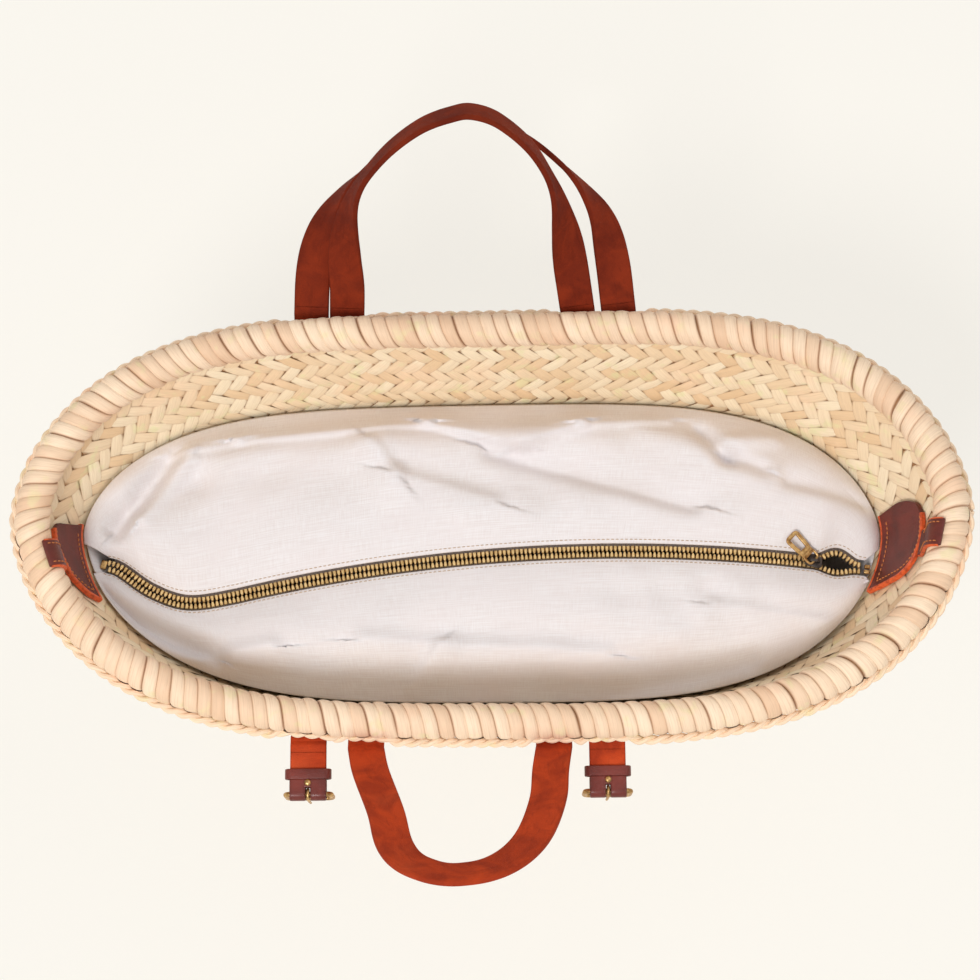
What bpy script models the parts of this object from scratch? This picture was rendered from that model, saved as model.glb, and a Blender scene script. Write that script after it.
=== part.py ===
"""Palm-leaf pack basket with a zipped cotton lining, leather handles and buckle straps.

Metres, +Z up, +X along the mouth. The origin is the middle of the flat base. The back
handle and the carrying strap are on the +Y side, the front handle and buckles on -Y.
"""
import math

import bmesh
import bpy
import numpy as np
from mathutils import Matrix, Vector

# Basket
MOUTH_LENGTH = 0.500
MOUTH_DEPTH = 0.2328
BASE_LENGTH = 0.330
BASE_DEPTH = 0.124
WALL = 0.005
WALL_TOP = 0.252
END_RISE = 0.020
BASE_ROUND = 0.012
ROLL_DIAMETER = 0.018
FLARE_POWER = 1.7
SIDE_FLATNESS = 3.7
END_ROUNDNESS = 0.58
MOUTH_EGG_SHARE = 0.022
FIT = 0.0004

# Lining
LINING = 0.0012
LINING_GAP = 0.0015
FLOOR_GAP = 0.0005
PANEL = 0.0016
PANEL_WALL_GAP = 0.0022
PANEL_BULGE = 0.014
BULGE_SPAN = 0.060
HEM_SIDE_DROP = 0.069
HEM_LEFT_DROP = 0.0275
HEM_RIGHT_DROP = 0.038
HEM_END_POWER = 3.0
HEM_OVER_BAG = 0.0016
SEAM_SPREAD = 0.0045

# Folds of the lining panels as shares of the mouth, of their rise and of their width:
# start and end in plan, height, half width
FOLD_RISE = 0.006
FOLD_WIDTH = 0.013
BACK_FOLD_SHARES = (
    ((-0.332, 0.198), (-0.12, 0.25), 1.0, 0.92),
    ((-0.12, 0.25), (0.12, 0.266), 0.83, 1.0),
    ((-0.332, 0.146), (-0.40, 0.06), -1.17, 0.85),
    ((0.17, 0.275), (0.30, 0.146), 0.75, 0.7),
    ((-0.08, 0.13), (0.06, 0.146), -0.5, 1.08),
)
FRONT_FOLD_SHARES = (
    ((-0.30, -0.266), (-0.12, -0.258), 0.58, 1.08),
    ((-0.04, -0.283), (0.20, -0.25), 0.67, 1.0),
    ((0.24, -0.155), (0.33, -0.215), -0.67, 0.85),
)
FOLD_EDGE_SHARE = 0.18

# Zip
ZIP_DROP = 0.032
ZIP_ARC_SHARE = 1.79
ZIP_ARC_CENTRE_SHARE = 0.124
ZIP_ARC_TOP_Y = -0.0073
ZIP_LEFT_GAP = 0.0076
ZIP_RIGHT_GAP = 0.0084
ZIP_TURN_SHARE = -0.28
ZIP_LEFT_SHARES = ((0.369, -0.148), (0.652, -0.122), (0.894, -0.074), (1.0, -0.063))
ZIP_LEFT_RISE = 0.0105
ZIP_RISE_POWER = 1.3
ZIP_STEP = 0.012
OPEN_STEPS = 7
OPEN_END = 0.003
TOOTH_ROW_WIDTH = 0.0023
TOOTH_ROW_HEIGHT = 0.0026
TOOTH_ROW_GAP = 0.0006
TAPE_WIDTH = 0.0044
TAPE = 0.0008
TAPE_GAP = 0.0004
FOLD_EDGE_OFFSET = 0.0030
PANEL_RAISE = 0.0021
OPEN_BACK = 0.0050
OPEN_FRONT = 0.0024
STOP_LENGTH = 0.0030
STOP_BAND = 0.0010
SLIDER_FROM_END = 0.0275
SLIDER_LENGTH = 0.0090
SLIDER_WIDTH = 0.0072
SLIDER_HEIGHT = 0.0022
SLIDER_LIFT = 0.0003
SLIDER_NOSE_SHARE = 0.62
BRIDGE_WIRE = 0.0012
BRIDGE_REACH = 0.0027
BRIDGE_SEAT = 0.0005
PULL_AXIS_LIFT = 0.0017
PULL_THICKNESS = 0.0014
PULL_LENGTH = 0.0195
PULL_NEAR_WIDTH = 0.0080
PULL_FAR_WIDTH = 0.0092
PULL_EYE_LENGTH = 0.0038
PULL_EYE_WIDTH = 0.0060
PULL_WINDOW_START = 0.0080
PULL_WINDOW_LENGTH = 0.0078
PULL_WINDOW_WIDTH = 0.0046
PULL_TURN = math.radians(143.0)
PULL_TILT = math.radians(16.0)

# End tabs of the lining
TAB = 0.0025
TAB_LEFT_DROP = 0.0105
TAB_LEFT_RISE = 0.0215
TAB_LEFT_LOW = -0.040
TAB_LEFT_HIGH = 0.006
TAB_LEFT_SHARES = (
    (0.0, 0.0, 0.0), (0.2, 0.02, 0.03), (0.4, 0.056, 0.05), (0.6, 0.14, 0.07), (0.75, 0.23, 0.085),
    (0.88, 0.43, 0.10), (1.0, 0.66, 0.19),
)
TAB_RIGHT_DROP = 0.029
TAB_RIGHT_RISE = 0.034
TAB_RIGHT_LOW = -0.0355
TAB_RIGHT_HIGH = 0.014
TAB_RIGHT_SHARES = (
    (0.0, 0.0, 0.06), (0.25, 0.015, 0.03), (0.5, 0.045, 0.0), (0.7, 0.08, 0.01), (0.85, 0.16, 0.05),
    (0.94, 0.27, 0.10), (1.0, 0.45, 0.22),
)
TAB_COLUMNS = 9
TAB_WALL_GAP = 0.0006
ANCHOR_LEFT_Y = -0.0245
ANCHOR_RIGHT_Y = -0.0175
ANCHOR_WIDTH = 0.015
ANCHOR = 0.002
ANCHOR_GAP = 0.0009
ANCHOR_SEAT = 0.0015
ANCHOR_FOOT = 0.0025
ANCHOR_FOOT_GAP = 0.0015
ANCHOR_ARC_STEPS = 6
ANCHOR_ARC_END = math.radians(118.0)

# Leather straps
STRAP_WIDTH = 0.019
STRAP = 0.003
HINGE_OUT = 0.0036
HINGE_DROP = 0.005
FLEX_GAP = 0.0007
BUCKLE_FLEX_GAP = 0.0005
END_LEAVE_ANGLE = math.radians(232.0)
BUCKLE_LEAVE_ANGLE = math.radians(244.0)
END_KNEE_DROP = 0.017
END_BOTTOM = 0.176
END_SEAT = 0.0006
RIVET_RADIUS = 0.0035
RIVET_HEAD = 0.0012
RIVET_SHANK = 0.0015
RIVET_FIT = 0.0003
RIVET_HEIGHT = 0.190

# Loops: places of the two legs, rise, lean from the vertical, outline in shares
BACK_HANDLE_LEFT = -0.0783
BACK_HANDLE_RIGHT = 0.0483
BACK_HANDLE_RISE = 0.1165
BACK_HANDLE_LEAN = math.radians(45.0)
BACK_HANDLE_SHARES = (
    (0.0, 0.0), (0.005, 0.14), (0.0, 0.30), (0.015, 0.46), (0.052, 0.60), (0.12, 0.72), (0.222, 0.84),
    (0.35, 0.94), (0.475, 0.99), (0.555, 1.0), (0.665, 0.955), (0.80, 0.82), (0.892, 0.635),
    (0.942, 0.42), (0.972, 0.21), (1.0, 0.0),
)
CARRY_LEFT = -0.0979
CARRY_RIGHT = 0.0708
CARRY_RISE = 0.108
CARRY_LEAN = math.radians(66.0)
CARRY_SHARES = (
    (0.0, 0.0), (0.006, 0.17), (0.02, 0.32), (0.052, 0.475), (0.115, 0.62), (0.185, 0.725), (0.265, 0.84),
    (0.36, 0.94), (0.46, 0.995), (0.515, 1.0), (0.61, 0.955), (0.72, 0.865), (0.82, 0.735),
    (0.895, 0.605), (0.95, 0.46), (0.98, 0.26), (1.0, 0.0),
)
FRONT_HANDLE_LEFT = -0.0672
FRONT_HANDLE_RIGHT = 0.0312
FRONT_HANDLE_RISE = 0.1105
FRONT_HANDLE_LEAN = math.radians(42.0)
FRONT_HANDLE_SHARES = (
    (0.0, 0.0), (0.035, 0.20), (0.125, 0.52), (0.175, 0.76), (0.25, 0.90), (0.375, 0.98), (0.49, 1.0),
    (0.65, 0.965), (0.785, 0.86), (0.885, 0.69), (0.955, 0.43), (0.975, 0.20), (1.0, 0.0),
)
LOOP_RINGS = 38
TWIST_START_SHARE = 0.04
TWIST_END_SHARE = 0.30
FRONT_CROWN_ROLL = math.radians(83.0)

# Buckle straps, measured from their hinge outward along the strap
BUCKLE_LEFT = -0.0976
BUCKLE_RIGHT = 0.0591
BUCKLE_HINGE_OUT = 0.0011
BUCKLE_HINGE_DROP = 0.0095
BUCKLE_LEAN = math.radians(92.0)
BUCKLE_STRAP_END = 0.0218
BAR_DISTANCE = 0.0255
CHAPE = 0.0016
CHAPE_WIDTH = 0.0192
CHAPE_START = 0.0183
PLY_GAP = 0.0004
SLOT_WIDTH = 0.0024
SLOT_START = 0.0219
CHAPE_RIVET_PLACE = 0.0198
CHAPE_RIVET_SHANK = 0.0010
CHAPE_RIVET_RADIUS = 0.0016
CHAPE_RIVET_HEAD = 0.0007
KEEPER_LENGTH = 0.0055
KEEPER = 0.0015
KEEPER_WIDTH = 0.0245
KEEPER_FIT = 0.0004
FRAME_WIRE = 0.003
FRAME_WIDTH = 0.0265
FRAME_HEIGHT = 0.020
FRAME_CORNER = 0.003
FRAME_LEAN = math.radians(185.0)
PRONG_WIRE = 0.0016
PRONG_GAP = 0.0003
PRONG_HOOK_END = math.radians(245.0)

# Facets and cuts
RING_STEPS = 60
WALL_ROWS = 5
ROUND_ROWS = 2
TURN_STEPS = 10
PANEL_COLUMNS = 34
PANEL_ROWS = 9
CUT_OVERRUN = 0.004
SURFACE_STEP = 0.0005
ANGLE_STEP = math.radians(0.5)

COLOURS = {
    "palm": ((0.84, 0.64, 0.42), 0.75, 0.0),
    "cotton": ((0.80, 0.74, 0.70), 0.9, 0.0),
    "tape": ((0.45, 0.36, 0.30), 0.9, 0.0),
    "brass": ((0.55, 0.40, 0.20), 0.35, 1.0),
    "leather": ((0.28, 0.05, 0.02), 0.5, 0.0),
    "burgundy": ((0.16, 0.035, 0.025), 0.45, 0.0),
}

BACK = 1
FRONT = -1


def clear_scene():
    for obj in list(bpy.data.objects):
        bpy.data.objects.remove(obj, do_unlink=True)


def new_collection(name):
    collection = bpy.data.collections.new(name)
    bpy.context.scene.collection.children.link(collection)
    return collection


def finish_for(node, kind):
    """A Principled material of the given kind for one sub-part."""
    colour, roughness, metallic = COLOURS[kind]
    material = bpy.data.materials.new(node + "_finish")
    material.use_nodes = True
    shader = material.node_tree.nodes["Principled BSDF"]
    shader.inputs["Base Color"].default_value = (*colour, 1.0)
    shader.inputs["Roughness"].default_value = roughness
    shader.inputs["Metallic"].default_value = metallic
    return material


def link(obj, kind):
    """Put a finished sub-part in the parts collection with its own material."""
    PARTS.objects.link(obj)
    obj.data.materials.clear()
    obj.data.materials.append(finish_for(obj.name, kind))
    return obj


def mesh_object(name, vertices, faces, kind, place=None):
    mesh = bpy.data.meshes.new(name)
    mesh.from_pydata([tuple(v) for v in vertices], [], faces)
    mesh.update()
    obj = bpy.data.objects.new(name, mesh)
    if place is not None:
        obj.matrix_world = place
    return link(obj, kind)


def spline(points, count):
    """Catmull-Rom curve through the points, sampled evenly along its chord length."""
    pts = np.array(points, float)
    ends = np.vstack([2 * pts[0] - pts[1], pts, 2 * pts[-1] - pts[-2]])
    dense = []
    for i in range(len(pts) - 1):
        p0, p1, p2, p3 = ends[i:i + 4]
        for u in np.linspace(0, 1, 24, endpoint=False):
            dense.append(0.5 * (2 * p1 + (p2 - p0) * u + (2 * p0 - 5 * p1 + 4 * p2 - p3) * u ** 2
                                + (3 * p1 - p0 - 3 * p2 + p3) * u ** 3))
    dense.append(pts[-1])
    dense = np.array(dense)
    length = np.concatenate([[0], np.cumsum(np.linalg.norm(np.diff(dense, axis=0), axis=1))])
    wanted = np.linspace(0, length[-1], count)
    return np.stack([np.interp(wanted, length, dense[:, k]) for k in range(pts.shape[1])], axis=1)


def curve_object(name, points, place, closed=False, tilts=None):
    """A poly curve without a section yet, placed by its matrix."""
    curve = bpy.data.curves.new(name, "CURVE")
    curve.dimensions = "3D"
    curve.use_fill_caps = not closed
    line = curve.splines.new("POLY")
    line.points.add(len(points) - 1)
    line.use_cyclic_u = closed
    for i, point in enumerate(points):
        line.points[i].co = (*Vector(point).to_3d(), 1.0)
        line.points[i].tilt = 0.0 if tilts is None else tilts[i]
    obj = bpy.data.objects.new(name, curve)
    obj.matrix_world = place
    return obj


def strap(name, points, width, thickness, place, kind, tilts=None, edge_steps=1):
    """A flat strap along points of its local XY plane, its width along local Z at tilt 0."""
    obj = curve_object(name, points, place, tilts=tilts)
    obj.data.twist_mode = "Z_UP"
    obj.data.extrude = (width - thickness) / 2
    obj.data.bevel_depth = thickness / 2
    obj.data.bevel_resolution = edge_steps
    return link(obj, kind)


def wire(name, points, diameter, place, kind, closed=False, sides=2):
    obj = curve_object(name, points, place, closed=closed)
    obj.data.twist_mode = "MINIMUM"
    obj.data.bevel_depth = diameter / 2
    obj.data.bevel_resolution = sides
    return link(obj, kind)


def plate(name, outlines, thickness, place, kind):
    """A flat outline, with any holes after it, extruded to its thickness."""
    curve = bpy.data.curves.new(name, "CURVE")
    curve.dimensions = "2D"
    curve.fill_mode = "BOTH"
    curve.extrude = thickness / 2
    for outline in outlines:
        line = curve.splines.new("POLY")
        line.points.add(len(outline) - 1)
        line.use_cyclic_u = True
        for i, (x, y) in enumerate(outline):
            line.points[i].co = (x, y, 0.0, 1.0)
    obj = bpy.data.objects.new(name, curve)
    obj.matrix_world = place
    return link(obj, kind)


def rounded_box(length, width, corner, steps=4, middle=(0.0, 0.0)):
    """Outline of a rectangle with round corners, counter-clockwise."""
    points = []
    for quarter, (sx, sy) in enumerate(((1, 1), (-1, 1), (-1, -1), (1, -1))):
        cx = middle[0] + sx * (length / 2 - corner)
        cy = middle[1] + sy * (width / 2 - corner)
        for i in range(steps + 1):
            angle = math.pi / 2 * (quarter + i / steps)
            points.append((cx + corner * math.cos(angle), cy + corner * math.sin(angle)))
    return points


def turned(name, profile, place, kind):
    """A profile of (radius, height) run from top to bottom, turned about local Z."""
    mesh = bpy.data.meshes.new(name)
    mesh.from_pydata([(r, 0.0, z) for r, z in profile], [(i, i + 1) for i in range(len(profile) - 1)], [])
    obj = bpy.data.objects.new(name, mesh)
    obj.matrix_world = place
    screw = obj.modifiers.new("turn", "SCREW")
    screw.steps = TURN_STEPS
    screw.render_steps = TURN_STEPS
    screw.use_merge_vertices = True
    screw.merge_threshold = 0.00001
    return link(obj, kind)


def as_mesh(obj):
    """Swap a curve object for its welded mesh, under the same name, place and material."""
    name = obj.name
    depsgraph = bpy.context.evaluated_depsgraph_get()
    mesh = bpy.data.meshes.new_from_object(obj.evaluated_get(depsgraph))
    welded = bmesh.new()
    welded.from_mesh(mesh)
    bmesh.ops.remove_doubles(welded, verts=welded.verts, dist=0.000001)
    bmesh.ops.recalc_face_normals(welded, faces=welded.faces)
    welded.to_mesh(mesh)
    welded.free()
    place = obj.matrix_world.copy()
    material = obj.data.materials[0]
    bpy.data.objects.remove(obj, do_unlink=True)
    solid = bpy.data.objects.new(name, mesh)
    mesh.name = name
    solid.matrix_world = place
    mesh.materials.clear()
    mesh.materials.append(material)
    PARTS.objects.link(solid)
    return solid


def to_cutters(obj):
    PARTS.objects.unlink(obj)
    CUTTERS.objects.link(obj)
    obj.hide_render = True
    obj.display_type = "WIRE"
    return obj


def combine(obj, other, operation):
    boolean = obj.modifiers.new(operation.lower(), "BOOLEAN")
    boolean.operation = operation
    boolean.object = other
    boolean.solver = "EXACT"


def drill(obj, name, place, radius, depth):
    """Cut a round hole along local Z of the place through the object."""
    top = (radius, depth / 2)
    bottom = (radius, -depth / 2)
    cutter = turned(name, [(0.0, top[1]), top, bottom, (0.0, bottom[1])], place, "brass")
    combine(obj, to_cutters(cutter), "DIFFERENCE")


def frame_at(origin, x_axis, y_axis):
    """Matrix of a place whose local X and Y run along two world directions."""
    x_axis = Vector(x_axis).normalized()
    y_axis = Vector(y_axis).normalized()
    z_axis = x_axis.cross(y_axis)
    turn = Matrix((x_axis, y_axis, z_axis)).transposed()
    return Matrix.Translation(Vector(origin)) @ turn.to_4x4()


def outward(side, lean):
    """Direction that leans from the vertical toward the outside of one long side."""
    return Vector((0.0, side * math.sin(lean), math.cos(lean)))


def depth_share(cosine):
    return max(0.0, 1 - abs(cosine) ** SIDE_FLATNESS) ** END_ROUNDNESS


def wall_top(cosine):
    return WALL_TOP + END_RISE * cosine ** 2


def ring_halves(height_share):
    """Half length and half depth of the wall's outside at a share of its height."""
    roll = ROLL_DIAMETER / 2
    spread = height_share ** FLARE_POWER
    top_length = MOUTH_LENGTH / 2 - roll + WALL / 2
    top_depth = MOUTH_DEPTH / 2 - roll + WALL / 2
    half_length = BASE_LENGTH / 2 + (top_length - BASE_LENGTH / 2) * spread
    half_depth = BASE_DEPTH / 2 + (top_depth - BASE_DEPTH / 2) * spread
    return half_length, half_depth


def wall_surface(angle, height):
    """Point of the wall's outside at a plan angle and a height."""
    cosine = math.cos(angle)
    share = height / wall_top(cosine)
    half_length, half_depth = ring_halves(share)
    y = math.copysign(half_depth * depth_share(cosine), math.sin(angle))
    return Vector((half_length * cosine, y * (1 + MOUTH_EGG_SHARE * share * cosine), height))


def wall_point(angle, height, inset):
    """Point of the wall's outside, moved in along the surface's normal by the inset."""
    low = max(height - SURFACE_STEP, 0.0)
    round_way = wall_surface(angle + ANGLE_STEP, height) - wall_surface(angle - ANGLE_STEP, height)
    up_way = wall_surface(angle, height + SURFACE_STEP) - wall_surface(angle, low)
    return wall_surface(angle, height) - round_way.cross(up_way).normalized() * inset


def wall_angle(x, height):
    """Angle on the back half at which the wall's outside passes the given x."""
    cosine = 0.0
    for _ in range(6):
        half_length = ring_halves(height / wall_top(cosine))[0]
        cosine = max(-1.0, min(1.0, x / half_length))
    return math.acos(cosine)


def wall_depth(x, height, side, width):
    """Largest outside distance from the middle plane over a strap's width."""
    edges = [x - width / 2, x, x + width / 2]
    return max(abs(wall_surface(side * wall_angle(e, height), height).y) for e in edges)


def cup(name, inset, floor, top, thickness, kind):
    """The basket's hollow shape: flat floor, round foot and flared wall, made thick inward."""
    foot = BASE_ROUND - inset
    rows = []
    for i in range(ROUND_ROWS):
        turn = math.pi / 2 * i / ROUND_ROWS
        rows.append((floor + foot * (1 - math.cos(turn)), foot * (1 - math.sin(turn)), 0.0))
    for i in range(WALL_ROWS + 1):
        rows.append((floor + foot, 0.0, i / WALL_ROWS))
    vertices = []
    for height, extra, share in rows:
        for i in range(RING_STEPS):
            angle = 2 * math.pi * i / RING_STEPS
            level = height + (top(math.cos(angle)) - height) * share
            vertices.append(wall_point(angle, level, inset + extra))
    faces = [tuple(reversed(range(RING_STEPS)))]
    for row in range(len(rows) - 1):
        for i in range(RING_STEPS):
            j = (i + 1) % RING_STEPS
            low = row * RING_STEPS
            faces.append((low + i, low + j, low + RING_STEPS + j, low + RING_STEPS + i))
    obj = mesh_object(name, vertices, faces, kind)
    thicken(obj, thickness, -1.0)
    return obj


def thicken(obj, thickness, offset):
    solid = obj.modifiers.new("thickness", "SOLIDIFY")
    solid.thickness = thickness
    solid.offset = offset
    solid.use_even_offset = True


def basket_body():
    body = cup("basket_body", 0.0, 0.0, wall_top, WALL, "palm")
    body.data.shade_smooth()


def rim_roll():
    """Overcast roll that closes the wall's top edge."""
    radius = ROLL_DIAMETER / 2
    points = []
    for i in range(RING_STEPS):
        angle = 2 * math.pi * i / RING_STEPS
        top = wall_top(math.cos(angle))
        edge = wall_point(angle, top, WALL / 2)
        points.append(edge + Vector((0.0, 0.0, radius + FIT)))
    place = Matrix.Identity(4)
    wire("rim_roll", points, ROLL_DIAMETER, place, "palm", closed=True)


def hem_height(cosine):
    """Height of the seam where the lining leaves the wall."""
    end = HEM_RIGHT_DROP if cosine > 0 else HEM_LEFT_DROP
    return WALL_TOP - HEM_SIDE_DROP + (HEM_SIDE_DROP - end) * abs(cosine) ** HEM_END_POWER


def lining_bag():
    def top(cosine):
        return hem_height(cosine) - HEM_OVER_BAG
    inset = WALL + LINING_GAP
    bag = cup("lining_bag", inset, WALL + FLOOR_GAP, top, LINING, "cotton")
    bag.data.shade_smooth()


def zip_height():
    return WALL_TOP - ZIP_DROP


def zip_end(end):
    """Distance along the mouth at which the zip ends, short of the wall's inside."""
    if end < 0:
        y = MOUTH_DEPTH * ZIP_LEFT_SHARES[-1][1]
        return end_wall_point(end, y, zip_height() + ZIP_LEFT_RISE, WALL).x + ZIP_LEFT_GAP
    x = MOUTH_LENGTH / 2
    for _ in range(4):
        x = end_wall_point(end, arc_y(x), zip_height(), WALL).x - ZIP_RIGHT_GAP
    return x


def slider_x():
    return zip_end(1) - SLIDER_FROM_END


def arc_centre():
    radius = ZIP_ARC_SHARE * MOUTH_LENGTH
    return Vector((ZIP_ARC_CENTRE_SHARE * MOUTH_LENGTH, ZIP_ARC_TOP_Y - radius, zip_height()))


def arc_y(x):
    """Plan curve of the zip's main run, an arc about a far centre."""
    centre = arc_centre()
    return centre.y + math.sqrt((ZIP_ARC_TOP_Y - centre.y) ** 2 - (x - centre.x) ** 2)


def zip_route():
    """Centre line of the zip from the left end to the right end."""
    turn_x = ZIP_TURN_SHARE * MOUTH_LENGTH
    last = zip_end(-1)
    left = [(turn_x + (last - turn_x) * x, MOUTH_DEPTH * y) for x, y in reversed(ZIP_LEFT_SHARES)]
    joint = [(turn_x + k * ZIP_STEP, arc_y(turn_x + k * ZIP_STEP)) for k in range(3)]
    turn = spline(left + joint, 14)
    turn = [tuple(p) for p in turn if p[0] < turn_x]
    count = int((slider_x() - turn_x) / ZIP_STEP)
    closed = [(x, arc_y(x)) for x in np.linspace(turn_x, slider_x(), count)]
    parted = [(x, arc_y(x)) for x in np.linspace(slider_x(), zip_end(1) - OPEN_END, OPEN_STEPS)]
    plan = np.array(turn + closed + parted[1:] + [(zip_end(1), arc_y(zip_end(1)))])
    past = np.clip((turn_x - plan[:, 0]) / (turn_x - last), 0, 1)
    height = zip_height() + ZIP_LEFT_RISE * past ** ZIP_RISE_POWER
    return np.column_stack([plan, height])


def opening(x, side):
    """How far the open rows part between the slider and the right end."""
    share = min(1.0, max(0.0, (x - slider_x()) / (SLIDER_FROM_END - OPEN_END)))
    widest = OPEN_BACK if side == BACK else OPEN_FRONT
    return widest * math.sin(math.pi * share) ** 2


def beside(line, side, offset):
    """A line of points moved sideways in plan."""
    ahead = np.gradient(line[:, :2], axis=0)
    ahead /= np.linalg.norm(ahead, axis=1)[:, None]
    across = np.column_stack([-ahead[:, 1], ahead[:, 0]]) * side
    moved = line.copy()
    moved[:, :2] += across * np.reshape(offset, (-1, 1))
    return moved


def tooth_row(route, side):
    """Centre line of one row of teeth, with the open part next to the slider."""
    return beside(route, side, [row_offset() + opening(x, side) for x in route[:, 0]])


def row_offset():
    return (TOOTH_ROW_GAP + TOOTH_ROW_WIDTH) / 2


def zip_rows(route):
    place = Matrix.Identity(4)
    spacing = TOOTH_ROW_WIDTH / 2 + TAPE_GAP + TAPE_WIDTH / 2
    flat = [math.pi / 2] * len(route)
    for side, word in ((BACK, "back"), (FRONT, "front")):
        row = tooth_row(route, side)
        strap("zip_teeth_" + word, row, TOOTH_ROW_HEIGHT, TOOTH_ROW_WIDTH, place, "brass", edge_steps=0)
        tape = beside(row, side, spacing)[1:-1]
        strap("zip_tape_" + word, tape, TAPE_WIDTH, TAPE, place, "tape", flat, edge_steps=0)


def stop_place(row, route, index, away):
    """Place just past one end of a row, local X along the zip."""
    inner = route[-2] if index == -1 else route[1]
    ahead = (Vector(route[index]) - Vector(inner)).normalized()
    return frame_at(Vector(row[index]) + ahead * away, ahead, Vector((0, 0, 1)).cross(ahead))


def zip_stops(route):
    """Bottom stop past the closed end and the two top stops past the open end."""
    reach = STOP_LENGTH / 2 + FIT
    across = 2 * (row_offset() + TOOTH_ROW_WIDTH / 2)
    box = rounded_box(STOP_LENGTH, across, STOP_BAND / 2)
    plate("zip_bottom_stop", [box], TOOTH_ROW_HEIGHT, stop_place(route, route, 0, reach), "brass")
    small = rounded_box(STOP_LENGTH, TOOTH_ROW_WIDTH, STOP_BAND / 2)
    for side, word in ((BACK, "back"), (FRONT, "front")):
        row = tooth_row(route, side)
        place = stop_place(row, route, -1, reach)
        plate("zip_top_stop_" + word, [small], TOOTH_ROW_HEIGHT, place, "brass")


def fold_height(x, y, folds):
    """Height that the folds add to a panel at one place in plan."""
    total = 0.0
    here = Vector((x, y))
    for first, last, rise_share, width_share in folds:
        start = Vector((first[0] * MOUTH_LENGTH, first[1] * MOUTH_DEPTH))
        along = Vector((last[0] * MOUTH_LENGTH, last[1] * MOUTH_DEPTH)) - start
        share = (here - start).dot(along) / along.length_squared
        near = start + along * min(1.0, max(0.0, share))
        distance = (here - near).length / (width_share * FOLD_WIDTH)
        total += rise_share * FOLD_RISE * math.exp(-distance ** 2)
    return total


def seam_angles(edge, side):
    """Plan angles at which a panel's seam on the wall starts and ends, beside the zip's ends."""
    first = end_wall_angle(-1, edge[0, 1] + side * SEAM_SPREAD, hem_height(-1.0))
    last = end_wall_angle(1, edge[-1, 1] + side * SEAM_SPREAD, hem_height(1.0))
    if side == FRONT:
        first -= 2 * math.pi
    return np.linspace(first, last, PANEL_COLUMNS)


def panel_point(near, far, share, folds):
    """Point of a panel at a share of the way from the zip to the seam."""
    point = near.lerp(far, share)
    crown = 4 * share * (1 - share)
    window = min(1.0, crown / (4 * FOLD_EDGE_SHARE))
    tight = min(1.0, (far - near).length / BULGE_SPAN)
    point.z += PANEL_BULGE * crown * tight
    point.z += fold_height(point.x, point.y, folds) * window
    return point


def lining_panel(route, side, word, folds):
    """Half of the lining's top, from the zip's fold edge to the seam on the wall."""
    edge = beside(tooth_row(route, side), side, FOLD_EDGE_OFFSET)
    shares = (1 - np.cos(np.linspace(0.0, math.pi, PANEL_COLUMNS))) / 2
    vertices = []
    for angle, share in zip(seam_angles(edge, side), shares):
        x = edge[0, 0] + (edge[-1, 0] - edge[0, 0]) * share
        y = np.interp(x, edge[:, 0], edge[:, 1])
        z = np.interp(x, edge[:, 0], edge[:, 2]) + PANEL_RAISE
        far = wall_point(angle, hem_height(math.cos(angle)), WALL + PANEL_WALL_GAP)
        for k in range(PANEL_ROWS):
            vertices.append(panel_point(Vector((x, y, z)), far, k / (PANEL_ROWS - 1), folds))
    faces = []
    for i in range(PANEL_COLUMNS - 1):
        for k in range(PANEL_ROWS - 1):
            a = i * PANEL_ROWS + k
            quad = (a, a + PANEL_ROWS, a + PANEL_ROWS + 1, a + 1)
            faces.append(quad if side == BACK else tuple(reversed(quad)))
    panel = mesh_object("lining_panel_" + word, vertices, faces, "cotton")
    thicken(panel, PANEL, 0.0)
    panel.data.shade_smooth()


def slider_place(lift):
    """Place on the zip's arc at the slider, local X along the zip toward the open end."""
    here = Vector((slider_x(), arc_y(slider_x()), zip_height()))
    radius = (here - arc_centre()).normalized()
    ahead = Vector((radius.y, -radius.x, 0.0))
    return frame_at(here + Vector((0.0, 0.0, lift)), ahead, radius)


def zip_slider():
    """Slider body over the chain with the bridge that holds the pull tab."""
    base = TOOTH_ROW_HEIGHT / 2 + SLIDER_LIFT
    half = SLIDER_LENGTH / 2
    wide = SLIDER_WIDTH / 2
    nose = wide * SLIDER_NOSE_SHARE
    outline = [(-half, -nose), (-half / 3, -wide * 0.8), (half * 0.7, -wide), (half, -nose),
               (half, nose), (half * 0.7, wide), (-half / 3, wide * 0.8), (-half, nose)]
    place = slider_place(base + SLIDER_HEIGHT / 2)
    body = as_mesh(plate("zip_slider", [outline], SLIDER_HEIGHT, place, "brass"))
    foot = SLIDER_HEIGHT / 2 - BRIDGE_SEAT
    crown = SLIDER_HEIGHT / 2 + PULL_AXIS_LIFT + PULL_THICKNESS / 2 + FIT + BRIDGE_WIRE / 2
    corner = BRIDGE_WIRE
    arch = [(-BRIDGE_REACH, foot), (-BRIDGE_REACH, crown - corner), (-BRIDGE_REACH + corner / 2, crown),
            (BRIDGE_REACH - corner / 2, crown), (BRIDGE_REACH, crown - corner), (BRIDGE_REACH, foot)]
    upright = place @ Matrix.Rotation(math.pi / 2, 4, "X")
    bridge = as_mesh(wire("slider_bridge", arch, BRIDGE_WIRE, upright, "brass"))
    combine(body, to_cutters(bridge), "UNION")
    centre = bpy.data.objects.new("zip_arc_centre", None)
    PARTS.objects.link(centre)
    centre.location = arc_centre()
    body.parent = centre
    body.matrix_parent_inverse = Matrix.Translation(-arc_centre())


def pull_place():
    lift = TOOTH_ROW_HEIGHT / 2 + SLIDER_LIFT + SLIDER_HEIGHT + PULL_AXIS_LIFT
    turn = Matrix.Rotation(PULL_TURN, 4, "Z") @ Matrix.Rotation(-PULL_TILT, 4, "Y")
    return slider_place(lift) @ turn


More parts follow.
